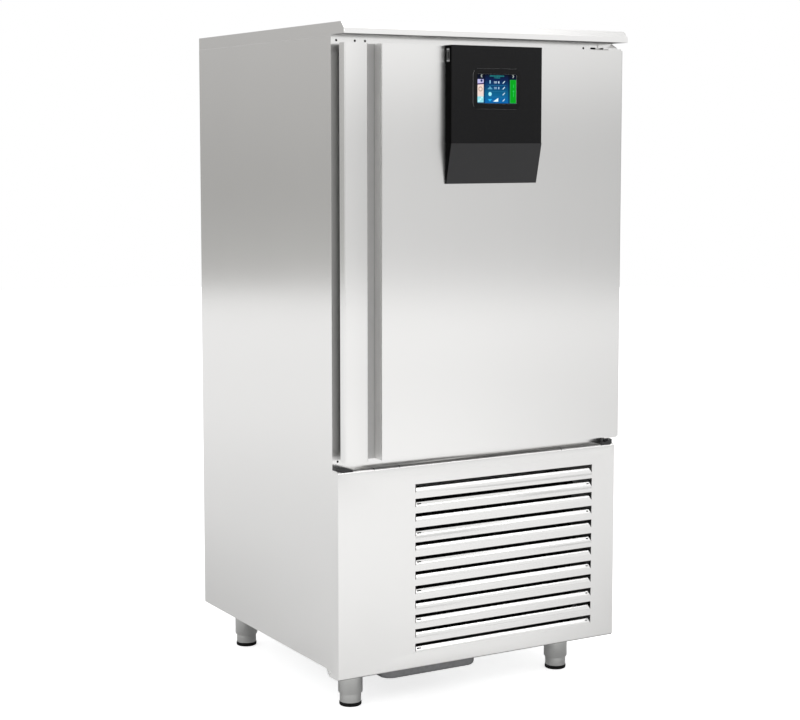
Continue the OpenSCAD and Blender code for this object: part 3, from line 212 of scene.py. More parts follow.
# Places that the finishes need, in millimetres in the part's frame
HALF_WIDTH = 395.0                   # of the cabinet
INNER_FACE = 394.4                   # between the inner and the outer face of a side panel
SHADE_REACH = 320.0                   # how far along Y the painted shade inside the side panels reaches, both ways
DOOR_FACE = -385.0                   # Y of the door's front
DOOR_RIGHT = 380.7                   # where the bent edge on the door's right starts
GROOVE_LEFT, GROOVE_RIGHT = -346.0, -295.9
GROOVE_FLOOR = 32.5                  # how deep in the groove its floor starts
FRAME_LOW, FRAME_HIGH = 618.0, 1571.0    # ends of the stiles beside the door
LEDGE_Z = 590.0                      # the lower panel's ledge lies above it
# X of dark lines across the ledge; the two on the left are a painted reflection of the door's finger groove.
LEDGE_MARKS = (-299.0, -230.0, 233.0)
BLADE_LEFT = -188.0                  # left ends of the louvre blades
BLADE_FRONT = -352.6                 # Y between the blades and the sheet that they stand out from
BLADE_PITCH = 35.0
BLADE_PHASE = 173.6                  # added to Z, it makes each blade start at a multiple of the pitch


def underside_shade(f):
    """Faces that look down are duller, and darker by painted shade."""
    down = (-f.part(f.node("ShaderNodeNewGeometry", output="Normal"), "Z")).above(0.6, 0.2)
    # Down-facing faces get painted shade; the roughness rise only makes them duller.
    return 1.0 - down * 0.72, down * 0.2


def near_floor(f):
    """The side panels: darker towards the floor, a painted reflection of the floor's shade; painted shade on
    the faces inside the cabinet, which are duller too; and painted shade on down-facing faces.
    """
    share, rise = underside_shade(f)
    # Painted reflection of the floor's shade: the panels darken towards the floor.
    dust = 1.0 - f.axis("Z").above(230.0, 170.0)
    across, depth = f.axis("X").math("ABSOLUTE"), f.axis("Y").math("ABSOLUTE")
    # Painted shade on the faces inside the cabinet.
    inside = (1.0 - across.above(INNER_FACE)) * (1.0 - depth.above(SHADE_REACH))
    return share * (1.0 - dust * 0.12) * (1.0 - inside * 0.65), rise + inside * 0.2


def in_groove(f):
    """The finger groove of the door: duller, lighter inside by painted light and darker on its floor by painted
    shade, with painted shade on down-facing faces. The bent edge on the door's right is darker too."""
    share, rise = underside_shade(f)
    across, depth = f.axis("X"), f.axis("Y") - DOOR_FACE
    inside = across.above(GROOVE_LEFT) * (1.0 - across.above(GROOVE_RIGHT)) * depth.above(4.0, 3.0)
    share = share * (1.0 - across.above(DOOR_RIGHT, 0.5) * 0.35)
    # Painted light inside the groove and painted shade on its floor.
    return share * (1.0 + inside * 0.13 - inside * depth.above(GROOVE_FLOOR, 1.5) * 0.52), rise + inside * 0.2


def in_rebate(f):
    """The front frame's stiles beside the door: painted shade that deepens towards the gasket, and painted
    shade on down-facing faces.
    """
    share, rise = underside_shade(f)
    across, up = f.axis("X").math("ABSOLUTE"), f.axis("Z")
    beside = up.above(FRAME_LOW, 3.0) * (1.0 - up.above(FRAME_HIGH, 3.0))
    # Painted shade on the stiles, deepening towards the door's gasket.
    dark = ((HALF_WIDTH - across) * 0.022 + 0.22).math("MINIMUM", 0.55)
    return share * (1.0 - beside * dark), rise + beside * 0.1


def lower_panel_shade(f):
    """The lower panel: dark lines across its dull ledge, the two on the left a painted reflection of the door's
    finger groove; painted shade in the cuts at the left ends of the blades and in the slots of every second
    blade; a little darker towards the bottom, a painted reflection of the floor's shade; and painted shade on
    down-facing faces."""
    share, rise = underside_shade(f)
    across, up = f.axis("X"), f.axis("Z")
    ledge = up.above(LEDGE_Z, 2.0)
    # Dark lines across the ledge; the two on the left paint the door's finger groove as the ledge reflects it.
    ledge_mark = 0.0
    for place in LEDGE_MARKS:
        ledge_mark = ledge_mark + (1.0 - (across - place).math("ABSOLUTE").above(0.9, 0.4)) * ledge
    blade = (f.axis("Y") - BLADE_FRONT).above(0.0) * (across - BLADE_LEFT).above(-0.2)
    over = (up + BLADE_PHASE).math("MODULO", BLADE_PITCH)
    over_two = (up + BLADE_PHASE).math("MODULO", 2 * BLADE_PITCH)
    cut = (1.0 - (across - BLADE_LEFT - over * 0.39).above(2.0, 0.4)) * (1.0 - over.above(11.0))
    slot = ((1.0 - (across - BLADE_LEFT - 12.8).math("ABSOLUTE").above(5.3, 0.3))
            * (1.0 - (over_two - 41.2).math("ABSOLUTE").above(1.4, 0.3)))
    # Painted shade in the cuts at the blades' left ends and in the slots.
    gap_shade = blade * cut.math("MAXIMUM", slot)
    # Painted reflection of the floor's shade: darker towards the bottom.
    low = 1.0 - (1.0 - up.above(300.0, 200.0)) * 0.08
    return share * low * (1.0 - ledge_mark * 0.7) * (1.0 - gap_shade * 0.94), rise + ledge_mark * 0.2 + ledge * 0.22


ALONG_SIDES = (6.0, 6.0, 900.0)      # grain that runs level round the cabinet
ALONG_TOP = (6.0, 900.0, 900.0)      # grain that runs across the worktop
UPRIGHT = (900.0, 900.0, 6.0)        # grain that runs up the sheets and posts


def galvanised(name, tone):
    """Zinc-coated sheet: crystals of a few millimetres, each with its own brightness and gloss."""
    f = Finish(name, Metallic=0.95)
    cell = f.node("ShaderNodeTexVoronoi", {"feature": "F1"}, {"Vector": f.place(), "Scale": 130.0},
                  output="Color")
    crystal = f.node("ShaderNodeSeparateColor", None, {0: cell})
    cloud = f.noise((9, 9, 9), detail=3.0)
    f.set(Base_Color=f.shade(tone, (crystal - 0.5) * 0.22 + (cloud - 0.5) * 0.18 + 1.0),
          Roughness=crystal * 0.16 + (cloud - 0.5) * 0.1 + 0.36)
    f.bump(f.noise((400, 400, 400), detail=2.0), 0.02)
    return f.material


def moulded(name, tone, rough, grain_mm=0.5, depth=0.02, coat=0.0, shine=0.5):
    """Moulded plastic or paint: a fine pebble grain, slow shade changes and a gloss that wanders a little."""
    f = Finish(name, Specular_IOR_Level=shine, Coat_Weight=coat, Coat_Roughness=0.1)
    pebble = f.noise((1000 / grain_mm,) * 3, detail=2.0, rough=0.55)
    cloud = f.noise((14, 14, 14), detail=3.0)
    f.set(Base_Color=f.shade(tone, (cloud - 0.5) * 0.08 + (pebble - 0.5) * 0.08 + 1.0),
          Roughness=(cloud - 0.5) * 0.1 + (pebble - 0.5) * 0.08 + rough)
    f.bump(pebble, depth)
    return f.material


def foam(name, tone):
    """Cut polyurethane foam: small cells and a slow change from pale to amber."""
    f = Finish(name, Specular_IOR_Level=0.2)
    cell = f.node("ShaderNodeTexVoronoi", {"feature": "F1"}, {"Vector": f.place(), "Scale": 900.0})
    cloud = f.noise((20, 20, 20), detail=3.0)
    f.set(Base_Color=f.blend(cloud, tone, (tone[0] * 0.85, tone[1] * 0.76, tone[2] * 0.6)),
          Roughness=(cloud - 0.5) * 0.1 + 0.9)
    f.bump(cell, 0.3)
    return f.material


def aluminium_fins(name, tone, dusty=(0.42, 0.41, 0.39)):
    """Thin aluminium fins: soft streaks, a little dust in patches and a fine relief along the fins."""
    f = Finish(name, Metallic=0.9)
    streak = f.noise((500, 30, 30), detail=3.0)
    dust = f.noise((26, 26, 26), detail=4.0, rough=0.6).above(0.52, 0.2)
    f.set(Base_Color=f.blend(dust * 0.35, f.shade(tone, (streak - 0.5) * 0.2 + 1.0), dusty),
          Roughness=dust * 0.2 + (streak - 0.5) * 0.1 + 0.36)
    f.bump(streak, 0.03)
    return f.material


def copper_tube(name, tone):
    """Drawn copper: bright metal with darker oxide patches."""
    f = Finish(name, Metallic=1.0)
    oxide = f.noise((45, 45, 45), detail=4.0, rough=0.6).above(0.5, 0.18)
    fine = f.noise((900, 900, 900), detail=2.0)
    f.set(Base_Color=f.blend(oxide, tone, (tone[0] * 0.62, tone[1] * 0.5, tone[2] * 0.45)),
          Roughness=oxide * 0.2 + (fine - 0.5) * 0.08 + 0.3)
    f.bump(fine, 0.01)
    return f.material


def box_front(name, tone, rough, depth):
    """Glossy black plastic of the control box: a deep clear gloss with faint dust and moulding waves."""
    f = Finish(name, Specular_IOR_Level=0.16)
    wave = f.noise((9, 9, 5), detail=1.0)
    dust = f.noise((1400, 1400, 1400), detail=1.0).above(0.72, 0.03)
    f.set(Base_Color=f.blend(dust * 0.25, tone, (0.12, 0.12, 0.12)),
          Roughness=(wave - 0.5) * 0.08 + dust * 0.15 + rough)
    f.bump(wave, depth)
    return f.material


def lit_screen(name):
    """The display's picture: the piece's own colour attribute, seen through glass with a faint smear."""
    f = Finish(name, Emission_Strength=1.0, Specular_IOR_Level=0.06)
    picture = f.node("ShaderNodeAttribute", {"attribute_name": "picture"})
    smear = f.noise((60, 60, 25), detail=3.0)
    f.set(Base_Color=f.shade(picture, 0.15), Emission_Color=f.shade(picture, (smear - 0.5) * 0.06 + 0.9),
          Roughness=(smear - 0.5) * 0.1 + 0.14)
    return f.material


STEEL = (0.84, 0.835, 0.825)


def casing_steel(name, shaded, tone=STEEL):
    """Steel of the outer sheets, whose upright grain draws reflections out."""
    return brushed_steel(name, tone, 0.22, UPRIGHT, streaks=0.02, spread=0.9, shaded=shaded)


finishes = {
    "side_steel": casing_steel("side_steel", near_floor),
    # A brighter copy of the casing steel: painted light on the worktop's nosing.
    "bright_nosing_steel": casing_steel("bright_nosing_steel", underside_shade, (0.90, 0.895, 0.885)),
    "frame_steel": casing_steel("frame_steel", in_rebate),
    "door_steel": casing_steel("door_steel", in_groove),
    "panel_steel": casing_steel("panel_steel", lower_panel_shade),
    "top_steel": brushed_steel("top_steel", STEEL, 0.18, ALONG_TOP, shaded=underside_shade),
    "post_steel": brushed_steel("post_steel", (0.70, 0.70, 0.69), 0.34, UPRIGHT),
    "dull_steel": brushed_steel("dull_steel", (0.62, 0.62, 0.61), 0.40, ALONG_SIDES, streaks=0.08),
    "foot_steel": brushed_steel("foot_steel", (0.54, 0.54, 0.53), 0.20, UPRIGHT, streaks=0.05),
    "liner_steel": brushed_steel("liner_steel", (0.74, 0.74, 0.73), 0.33, (6.0, 6.0, 700.0)),
    "screw_steel": brushed_steel("screw_steel", (0.70, 0.70, 0.70), 0.25, (300.0, 300.0, 300.0)),
    "zinc_sheet": galvanised("zinc_sheet", (0.60, 0.61, 0.61)),
    # Galvanised at a far darker tone than zinc_sheet: painted shade under the cabinet.
    "shaded_tray_zinc": galvanised("shaded_tray_zinc", (0.185, 0.187, 0.19)),
    "hinge_black": moulded("hinge_black", (0.02, 0.02, 0.021), 0.42),
    "foam": foam("foam", (0.88, 0.80, 0.55)),
    "break_plastic": moulded("break_plastic", (0.26, 0.26, 0.27), 0.5),
    "gasket_rubber": moulded("gasket_rubber", (0.07, 0.07, 0.075), 0.6, grain_mm=0.8),
    "housing_black": box_front("housing_black", (0.006, 0.006, 0.0065), 0.16, 0.05),
    "cover_black": moulded("cover_black", (0.034, 0.034, 0.035), 0.55, grain_mm=0.9, depth=0.04, shine=0.15),
    # A darker, duller copy of the box's black plastic: painted shade on the box's sides, top and bottom.
    "shaded_housing_side": moulded("shaded_housing_side", (0.0015, 0.0015, 0.0015), 0.6, shine=0.02),
    "bezel_black": box_front("bezel_black", (0.004, 0.004, 0.0045), 0.12, 0.02),
    # A mid-grey copy for the black bezel's side faces: a painted highlight along the bezel.
    "highlight_bezel_side": moulded("highlight_bezel_side", (0.50, 0.50, 0.50), 0.3),
    "lit_screen": lit_screen("lit_screen"),
    "board_green": moulded("board_green", (0.02, 0.09, 0.04), 0.45),
    "port_grey": moulded("port_grey", (0.05, 0.05, 0.05), 0.5),
    "coil_fins": aluminium_fins("coil_fins", (0.74, 0.75, 0.76)),
    # Black-coated condenser fins; the black also paints the shade seen through the louvre gaps.
    "coated_fins": aluminium_fins("coated_fins", (0.02, 0.02, 0.021), (0.05, 0.049, 0.047)),
    "fan_plastic": moulded("fan_plastic", (0.03, 0.03, 0.032), 0.45, grain_mm=0.9),
    "motor_paint": moulded("motor_paint", (0.07, 0.075, 0.08), 0.42, grain_mm=1.2, depth=0.03),
    "guard_wire": brushed_steel("guard_wire", (0.72, 0.73, 0.74), 0.22, (200.0, 200.0, 200.0)),
    "shell_paint": moulded("shell_paint", (0.012, 0.012, 0.013), 0.3, grain_mm=1.5, depth=0.03, coat=0.3),
    "copper": copper_tube("copper", (0.80, 0.42, 0.26)),
    "box_plastic": moulded("box_plastic", (0.66, 0.66, 0.62), 0.45),
    "black_rubber": moulded("black_rubber", (0.006, 0.006, 0.006), 0.6, grain_mm=0.8, depth=0.04, shine=0.15),
}


# ---- Pieces from CAD solids --------------------------------------------------------------------------

FLAT_ANGLE = math.radians(0.6)       # faces that meet at less are joined
SHARP_ANGLE = math.radians(35)       # edges where faces meet at more are sharp
BEVEL_ANGLE = math.radians(50)       # edges where faces meet at more are rounded


def merged_copy(node):
    """Mesh of a CAD node with its doubles merged, its flat triangles joined and its sharp edges marked."""
    mesh = frame["nodes"][node].data.copy()
    mesh.materials.clear()
    work = bmesh.new()
    work.from_mesh(mesh)
    bmesh.ops.remove_doubles(work, verts=work.verts, dist=2e-6)
    bmesh.ops.dissolve_limit(work, angle_limit=FLAT_ANGLE, verts=work.verts, edges=work.edges)
    for edge in work.edges:
        edge.smooth = len(edge.link_faces) == 2 and edge.calc_face_angle(0) < SHARP_ANGLE
    for face in work.faces:
        face.smooth = True
    work.to_mesh(mesh)
    work.free()
    for name in ("custom_normal", "UVMap"):
        if name in mesh.attributes:
            mesh.attributes.remove(mesh.attributes[name])
    return mesh


def formed(node, finish, edge, side=None):
    """A CAD node's merged copy with its edges rounded by edge millimetres. It stands for the node. side is
    the finish of the faces that look left, right or up, where that is another one."""
    piece = bpy.data.objects.new("formed_" + node, merged_copy(node))
    bpy.context.scene.collection.objects.link(piece)
    piece.data.materials.append(finishes[finish])
    if side:
        piece.data.materials.append(finishes[side])
        normals = np.zeros(len(piece.data.polygons) * 3)
        piece.data.polygons.foreach_get("normal", normals)
        across, _, up = np.abs(normals.reshape(-1, 3)).T
        piece.data.polygons.foreach_set("material_index", ((across > 0.75) | (up > 0.95)).astype(np.int32))
    if edge:
        bevel = piece.modifiers.new("rounded_edges", "BEVEL")
        bevel.width, bevel.segments = edge * MM, 1 if edge < 0.35 else 2
        bevel.limit_method, bevel.angle_limit = "ANGLE", BEVEL_ANGLE
        bevel.harden_normals = True
        bevel.use_clamp_overlap = True
    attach(piece, body_of_node[node])
    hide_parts(node)


def painted(node, finish):
    """The CAD node itself, with a finish."""
    slots = frame["nodes"][node].data.materials
    slots.clear()
    slots.append(finishes[finish])


def new_piece(name, points, faces, finish, body, slot, smooth=True):
    """An object from arrays of points, in metres, and of faces."""
    mesh = bpy.data.meshes.new(name)
    mesh.from_pydata(points.tolist(), [], faces.tolist())
    if smooth:
        mesh.shade_smooth()
    mesh.materials.append(finishes[finish])
    piece = bpy.data.objects.new(name, mesh)
    bpy.context.scene.collection.objects.link(piece)
    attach(piece, body)
    return piece


def grid_faces(rows, columns, close_rows=False, close_columns=False):
    """Four-sided faces of a grid of rows by columns, each closed on itself or not."""
    r = np.arange(rows if close_rows else rows - 1)[:, None]
    c = np.arange(columns if close_columns else columns - 1)[None, :]
    r1, c1 = (r + 1) % rows, (c + 1) % columns
    corner = [r * columns + c, r * columns + c1, r1 * columns + c1, r1 * columns + c]
    return np.stack([np.broadcast_to(k, (r.size, c.size)) for k in corner], -1).reshape(-1, 4)


# Finish and edge radius, in millimetres, of each formed piece; the finish of each painted node; and the second
# finish of the formed pieces that have two
FORMED = {
    "worktop": ("bright_nosing_steel", 0.8), "left_side_panel": ("side_steel", 0.5),
    "right_side_panel": ("side_steel", 0.5), "rear_panel": ("dull_steel", 0.3),
    "rear_vent_panel": ("dull_steel", 0.3), "front_frame": ("frame_steel", 0.25),
    "lower_front_panel": ("panel_steel", 0.3), "door_shell": ("door_steel", 0.3),
    "door_pan": ("liner_steel", 1.5), "control_housing": ("housing_black", 0.8),
    "control_lower_cover": ("cover_black", 0.8), "screen_bezel": ("bezel_black", 0.8),
    "service_port": ("port_grey", 0.25), "top_hinge_bracket": ("side_steel", 0.4),
    "bottom_hinge_bracket": ("hinge_black", 0.5), "spare_hinge_plate": ("hinge_black", 0.5),
    "door_hinge_plates": ("side_steel", 0.4), "chamber_liner": ("liner_steel", 0.0),
    "break_strip": ("break_plastic", 0.6), "rack_posts": ("post_steel", 0.4),
    "tray_runners_left": ("dull_steel", 0.4), "tray_runners_right": ("dull_steel", 0.4),
    "evaporator_cover": ("liner_steel", 0.4), "drip_tray": ("shaded_tray_zinc", 0.4),
    "drip_tray_rails": ("zinc_sheet", 0.3), "leg_sleeves": ("foot_steel", 0.4),
    "cable_grommet": ("black_rubber", 0.6), "drain_pipe": ("dull_steel", 0.4),
    "evaporator_fan_upper": ("fan_plastic", 0.4), "evaporator_fan_lower": ("fan_plastic", 0.4),
    "evaporator_motors": ("motor_paint", 0.5), "condenser_motor": ("motor_paint", 0.5),
    "condenser_fan": ("coil_fins", 0.4), "condenser_shroud": ("zinc_sheet", 0.4),
    "compressor": ("shell_paint", 0.8), "liquid_receiver": ("shell_paint", 0.6),
    "filter_drier": ("copper", 0.6), "refrigerant_pipes": ("copper", 0.0),
    "electrical_box": ("box_plastic", 0.8), "base_plate": ("zinc_sheet", 0.4),
    **{f"foot_{a}_{b}": ("foot_steel", 0.5) for a in ("front", "rear") for b in ("left", "right")},
    **{f"pad_{a}_{b}": ("black_rubber", 0.5) for a in ("front", "rear") for b in ("left", "right")},
}
PAINTED = {
    "deck": "zinc_sheet", "cabinet_insulation": "foam", "door_insulation": "foam",
    "control_board": "board_green", "evaporator_coil": "coil_fins", "condenser_coil": "coated_fins",
    "evaporator_drain_pan": "dull_steel", "touch_screen": "bezel_black",
}
# Second finishes: the worktop's top grain, painted shade on the control box's sides, and a painted highlight on
# the bezel's sides.
SIDES = {"worktop": "top_steel", "control_housing": "shaded_housing_side", "control_lower_cover": "shaded_housing_side",
         "screen_bezel": "highlight_bezel_side"}


# ---- Screen -----------------------------------------------------------------------------------------

def touch_screen():
    """The display: a grid of cells over the glass of the touch screen. Each cell's colour is a sum of plain
    shapes in u and v, the shares of its width from the left and of its height from below."""
    low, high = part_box("touch_screen")
    width, height = high.x - low.x, high.z - low.z
    columns, rows, lift = 260, 164, 0.05 * MM
    gu, gv = np.meshgrid(np.linspace(0, 1, columns + 1), np.linspace(0, 1, rows + 1))
    points = np.stack([low.x + gu * width, np.full_like(gu, low.y - lift), low.z + gv * height],
                      -1).reshape(-1, 3)
    u, v = np.meshgrid((np.arange(columns) + 0.5) / columns, (np.arange(rows) + 0.5) / rows)
    stops = (0, 0.35, 0.6, 0.8, 1)
    colour = np.stack([0.002 + 0 * v, np.interp(v, stops, (0.13, 0.115, 0.05, 0.014, 0.004)),
                       np.interp(v, stops, (0.42, 0.25, 0.16, 0.075, 0.012))], -1)
    colour *= (1.0 - 0.55 * ((u > 0.79) | (u < 0.2)))[..., None]

    def inside(u0, u1, v0, v1):
        return (u > u0) & (u < u1) & (v > v0) & (v < v1)

    def fill(mask, tone):
        colour[mask] = tone

    def near(u0, v0, r):
        return (u - u0) ** 2 + ((v - v0) * height / width) ** 2 < r * r

    tab = inside(0.006, 0.162, 0.035, 0.825)
    fill(tab, (0.84, 0.68, 0.62))
    fill(tab & (v < 0.24), (0.30, 0.74, 0.82))
    fill(tab & (v > 0.66), (0.52, 0.50, 0.78))
    fill(tab & (np.abs(v - 0.655 - u * 0.15) < 0.022), (0.06, 0.02, 0.12))
    fill(near(0.107, 0.775, 0.026), (0.01, 0.03, 0.14))
    fill(near(0.082, 0.49, 0.052) & ~near(0.082, 0.49, 0.034), (0.50, 0.34, 0.24))
    for u0, v0 in ((0.08, 0.14), (0.045, 0.09), (0.12, 0.2)):
        fill(near(u0, v0, 0.02), (0.62, 0.95, 0.95))
    fill(inside(0.836, 0.992, 0.02, 0.82), (0.04, 0.46, 0.08))
    fill(inside(0.846, 0.982, 0.032, 0.808), (0.0, 0.37, 0.012))
    fill(inside(0.918, 0.934, 0.55, 0.66) | inside(0.918, 0.934, 0.24, 0.36) | near(0.926, 0.42, 0.02),
         (0.03, 0.58, 0.12))
    text = np.sin(u * 300) > -0.3
    fill((inside(0.32, 0.69, 0.915, 0.965) | inside(0.425, 0.585, 0.862, 0.895)) & text, (0.02, 0.27, 0.27))
    for u0, turn in ((0.11, -1), (0.915, 1)):
        arrow = np.abs((u - u0) * turn + np.abs(v - 0.935) * 0.45 - 0.012) < 0.014
        fill(arrow & (np.abs(v - 0.935) < 0.05), (0.36, 0.40, 0.38))
    for v0 in (0.62, 0.42, 0.225):
        fill(inside(0.275, 0.735, v0 - 0.007, v0 + 0.007), (0.02, 0.20, 0.38))
    for v0 in (0.73, 0.53, 0.33, 0.12):
        fill(inside(0.645, 0.705, v0 - 0.045, v0 + 0.045) & (np.abs((v - v0) * 0.7 - (u - 0.675)) < 0.013),
             (0.62, 0.85, 0.95))
    for v0, tone in ((0.725, (0.50, 0.68, 0.85)), (0.53, (0.32, 0.52, 0.72))):
        fill(inside(0.425, 0.495, v0 - 0.035, v0 + 0.035) & text, tone)
        fill(inside(0.53, 0.56, v0 - 0.035, v0 + 0.035), tone)
    fill(inside(0.31, 0.34, 0.68, 0.79), (0.30, 0.62, 0.85))
    fill((np.abs(u - 0.325) * 1.6 < 0.59 - v) & (v > 0.49), (0.10, 0.36, 0.55))
    fill(near(0.325, 0.325, 0.042), (0.35, 0.85, 0.95))
    fill((np.abs(u - 0.325) * 1.6 < v - 0.065) & (v < 0.155), (0.02, 0.45, 0.85))
    fill(inside(0.40, 0.535, 0.065, 0.20) & (v - 0.065 < u - 0.40), (0.75, 0.95, 1.0))
    fill((u < 0.006) | (u > 0.994) | (v < 0.01) | (v > 0.99), (0.002, 0.003, 0.006))

    piece = new_piece("lit_touch_screen", points, grid_faces(rows + 1, columns + 1), "lit_screen", "door",
                      "screen", smooth=False)
    layer = piece.data.attributes.new("picture", "FLOAT_COLOR", "CORNER")
    tint = np.concatenate([colour.reshape(-1, 3), np.ones((rows * columns, 1))], 1)
    layer.data.foreach_set("color", np.repeat(tint, 4, axis=0).astype(np.float32).ravel())


# ---- Screws, plugs and gasket -------------------------------------------------------------------------

def joined(parts):
    """One set of points and faces from several."""
    start = np.cumsum([0] + [len(points) for points, _ in parts[:-1]])
    return (np.concatenate([points for points, _ in parts]),
            np.concatenate([faces + first for (_, faces), first in zip(parts, start)]))


def closed(piece):
    """Merges the doubles of a piece's seams and poles and turns its faces outwards."""
    work = bmesh.new()
    work.from_mesh(piece.data)
    bmesh.ops.remove_doubles(work, verts=work.verts, dist=1e-6)
    bmesh.ops.recalc_face_normals(work, faces=work.faces)
    work.to_mesh(piece.data)
    work.free()
    return piece


def heads(centres, out, radius, rise, cross=True, stretch=0.0):
    """Domed screw heads, longer by a stretch on both sides where one is given. Height is 0.35 + 0.65 *
    sqrt(1 - 0.96 s^2) of the rise over the share s of the radius, less a cross recess whose arms are narrow
    bands through the middle; the rim drops straight to the sheet and the back is flat."""
    share = np.array([0, 0.10, 0.16, 0.22, 0.30, 0.38, 0.46, 0.56, 0.68, 0.80, 0.90, 0.97, 1.0, 1.0, 0.5, 0])
    angle = np.linspace(0, 2 * np.pi, 40, endpoint=False)
    s, a = np.meshgrid(share, angle, indexing="ij")
    p, q = radius * s * np.cos(a) + stretch * np.sign(np.cos(a).round(6)), radius * s * np.sin(a)
    height = rise * (0.35 + 0.65 * np.sqrt(np.clip(1 - s ** 2 * 0.96, 0, 1)))
    if cross:
        height -= ((np.minimum(np.abs(p), np.abs(q)) < 0.13 * radius) & (s < 0.5)) * rise * 0.45
    height[-3:] = -0.1 * MM
    out = Vector(out).normalized()
    side = out.cross(Vector((0, 0, 1))) if abs(out.z) < 0.9 else Vector((1, 0, 0))
    up = side.cross(out)
    one = (p[..., None] * np.array(side) + q[..., None] * np.array(up) + height[..., None] * np.array(out))
    faces = grid_faces(len(share), len(angle), close_columns=True)
    points = (np.array(centres)[:, None, :] + one.reshape(1, -1, 3)).reshape(-1, 3)
    return points, (np.arange(len(centres))[:, None, None] * one[..., 0].size + faces[None]).reshape(-1, 4)


def frame_plugs():
    """Black plugs in the drilled holes of the front frame, a little below the sheet's face, and a long one
    beside the top hinge, just over it."""
    top, low = 1580, 614
    spots = [(x, top) for x in (-381, -333, -306.5, 306.5)] + [(x, low) for x in (-381, 381)]
    centres = [(x * MM, FRONT + 0.5 * MM, z * MM) for x, z in spots]
    closed(new_piece("hole_plugs", *heads(centres, (0, -1, 0), 2.55 * MM, 0.25 * MM, cross=False),
                     "black_rubber", "cabinet", "black_rubber"))
    beside_hinge = [(335.5 * MM, FRONT, top * MM)]
    slot = heads(beside_hinge, (0, -1, 0), 2.2 * MM, 0.4 * MM, cross=False, stretch=5.8 * MM)
    closed(new_piece("slot_plug", *slot, "black_rubber", "cabinet", "black_rubber"))


def cross_screws():
    """The casing's screws: twelve on the rear panels and one on each side tab of the lower panel."""
    depth, radius = 737, 4 * MM          # the cabinet's depth; the heads' radius
    rear = [(s * 387 * MM, FRONT + depth * MM, z * MM) for s in (-1, 1)
            for z in (146.5, 565, 625, 936.33, 1247.67, 1559)]
    parts = [heads(rear, (0, 1, 0), radius, 1.9 * MM)]
    for s in (-1, 1):
        tab = (s * HALF_WIDTH * MM, FRONT + 20 * MM, 109.5 * MM)
        parts.append(heads([tab], (s, 0, 0), radius, 2.1 * MM))
    piece = closed(new_piece("cross_screws", *joined(parts), "screw_steel", "cabinet", "screw_steel"))
    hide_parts("casing_screws")


def port_screws():
    """Four small screws at the corners of the service port's cover."""
    low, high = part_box("service_port")
    middle = (low.y + high.y) / 2
    centres = [(low.x + 0.2 * MM, middle + y * MM, high.z - z * MM) for y in (-3.5, 3.5) for z in (3, 29)]
    closed(new_piece("port_screws", *heads(centres, (-1, 0, 0), 1.5 * MM, 0.7 * MM), "screw_steel", "door",
                     "screw_steel"))


def bellows_gasket():
    """Door gasket. A closed bellows profile, given by its distance d in from the outer edge and its depth y, is
    carried round a rectangle with round corners: each point is the corner's centre plus R - d along the
    corner's direction, for a number of directions at each corner."""
    low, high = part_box("door_gasket")
    radius, width, steps = 18 * MM, 14, 9
    turn = np.radians(np.linspace(0, 90, steps))[None, :] + np.radians([180, 270, 0, 90])[:, None]
    direction = np.stack([np.cos(turn), np.sin(turn)], -1).reshape(-1, 2)
    corner = np.array([(low.x, low.z), (high.x, low.z), (high.x, high.z), (low.x, high.z)])
    inward = np.array([(1, 1), (-1, 1), (-1, -1), (1, -1)]) * radius
    centre = np.repeat(corner + inward, steps, axis=0)
    outer = np.array([(0.7, 0.0), (0.1, 0.5), (0.0, 1.2), (0.9, 1.9), (3.0, 2.5), (3.2, 2.9), (1.6, 3.6),
                      (1.2, 4.3), (1.6, 5.0), (3.2, 5.7), (3.0, 6.1), (0.9, 6.7), (0.0, 7.4), (0.1, 8.2),
                      (0.8, 8.7), (3.0, 8.6), (5.0, 8.7)])
    profile = np.concatenate([outer, (outer * (-1, 1) + (width, 0))[::-1]]) * MM
    reach = radius - profile[None, :, 0]
    level = np.broadcast_to(low.y + profile[None, :, 1], (len(centre), len(profile)))
    points = np.stack([centre[:, :1] + direction[:, :1] * reach, level,
                       centre[:, 1:] + direction[:, 1:] * reach], -1)
    faces = grid_faces(len(centre), len(profile), True, True)
    piece = closed(new_piece("bellows_gasket", points.reshape(-1, 3), faces, "gasket_rubber", "door",
                             "gasket_rubber"))
    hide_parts("door_gasket")


def wire(path, radius, ends=True):
    """A round wire along a path in a plane of constant Y or along a line: a circle of points in the plane across
    the path at each of its points, and a dome of two rings at each end, or closed on itself."""
    sides = 12
    path = np.array(path, float)
    ahead = np.roll(path, -1, 0) - np.roll(path, 1, 0)
    if ends:
        ahead[0], ahead[-1] = path[1] - path[0], path[-1] - path[-2]
    ahead /= np.linalg.norm(ahead, axis=1)[:, None]
    across = np.cross(ahead, (0, 1, 0))
    size = np.full(len(path), radius)
    if ends:
        # Each ring's point of the path, how far it lies behind that point, and its size, as shares of the radius
        rings = [(0, 1.0, 0.001), (0, 0.7, 0.7), *((k, 0.0, 1.0) for k in range(len(path))),
                 (-1, -0.7, 0.7), (-1, -1.0, 0.001)]
        at = [k for k, _, _ in rings]
        path = path[at] - ahead[at] * radius * np.array([behind for _, behind, _ in rings])[:, None]
        size = radius * np.array([share for _, _, share in rings])
        across = across[at]
    angle = np.linspace(0, 2 * np.pi, sides, endpoint=False)
    ring = (across[:, None, :] * np.cos(angle)[None, :, None]
            + np.array((0, 1, 0)) * np.sin(angle)[None, :, None]) * size[:, None, None]
    return (path[:, None, :] + ring).reshape(-1, 3), grid_faces(len(path), sides, not ends, True)


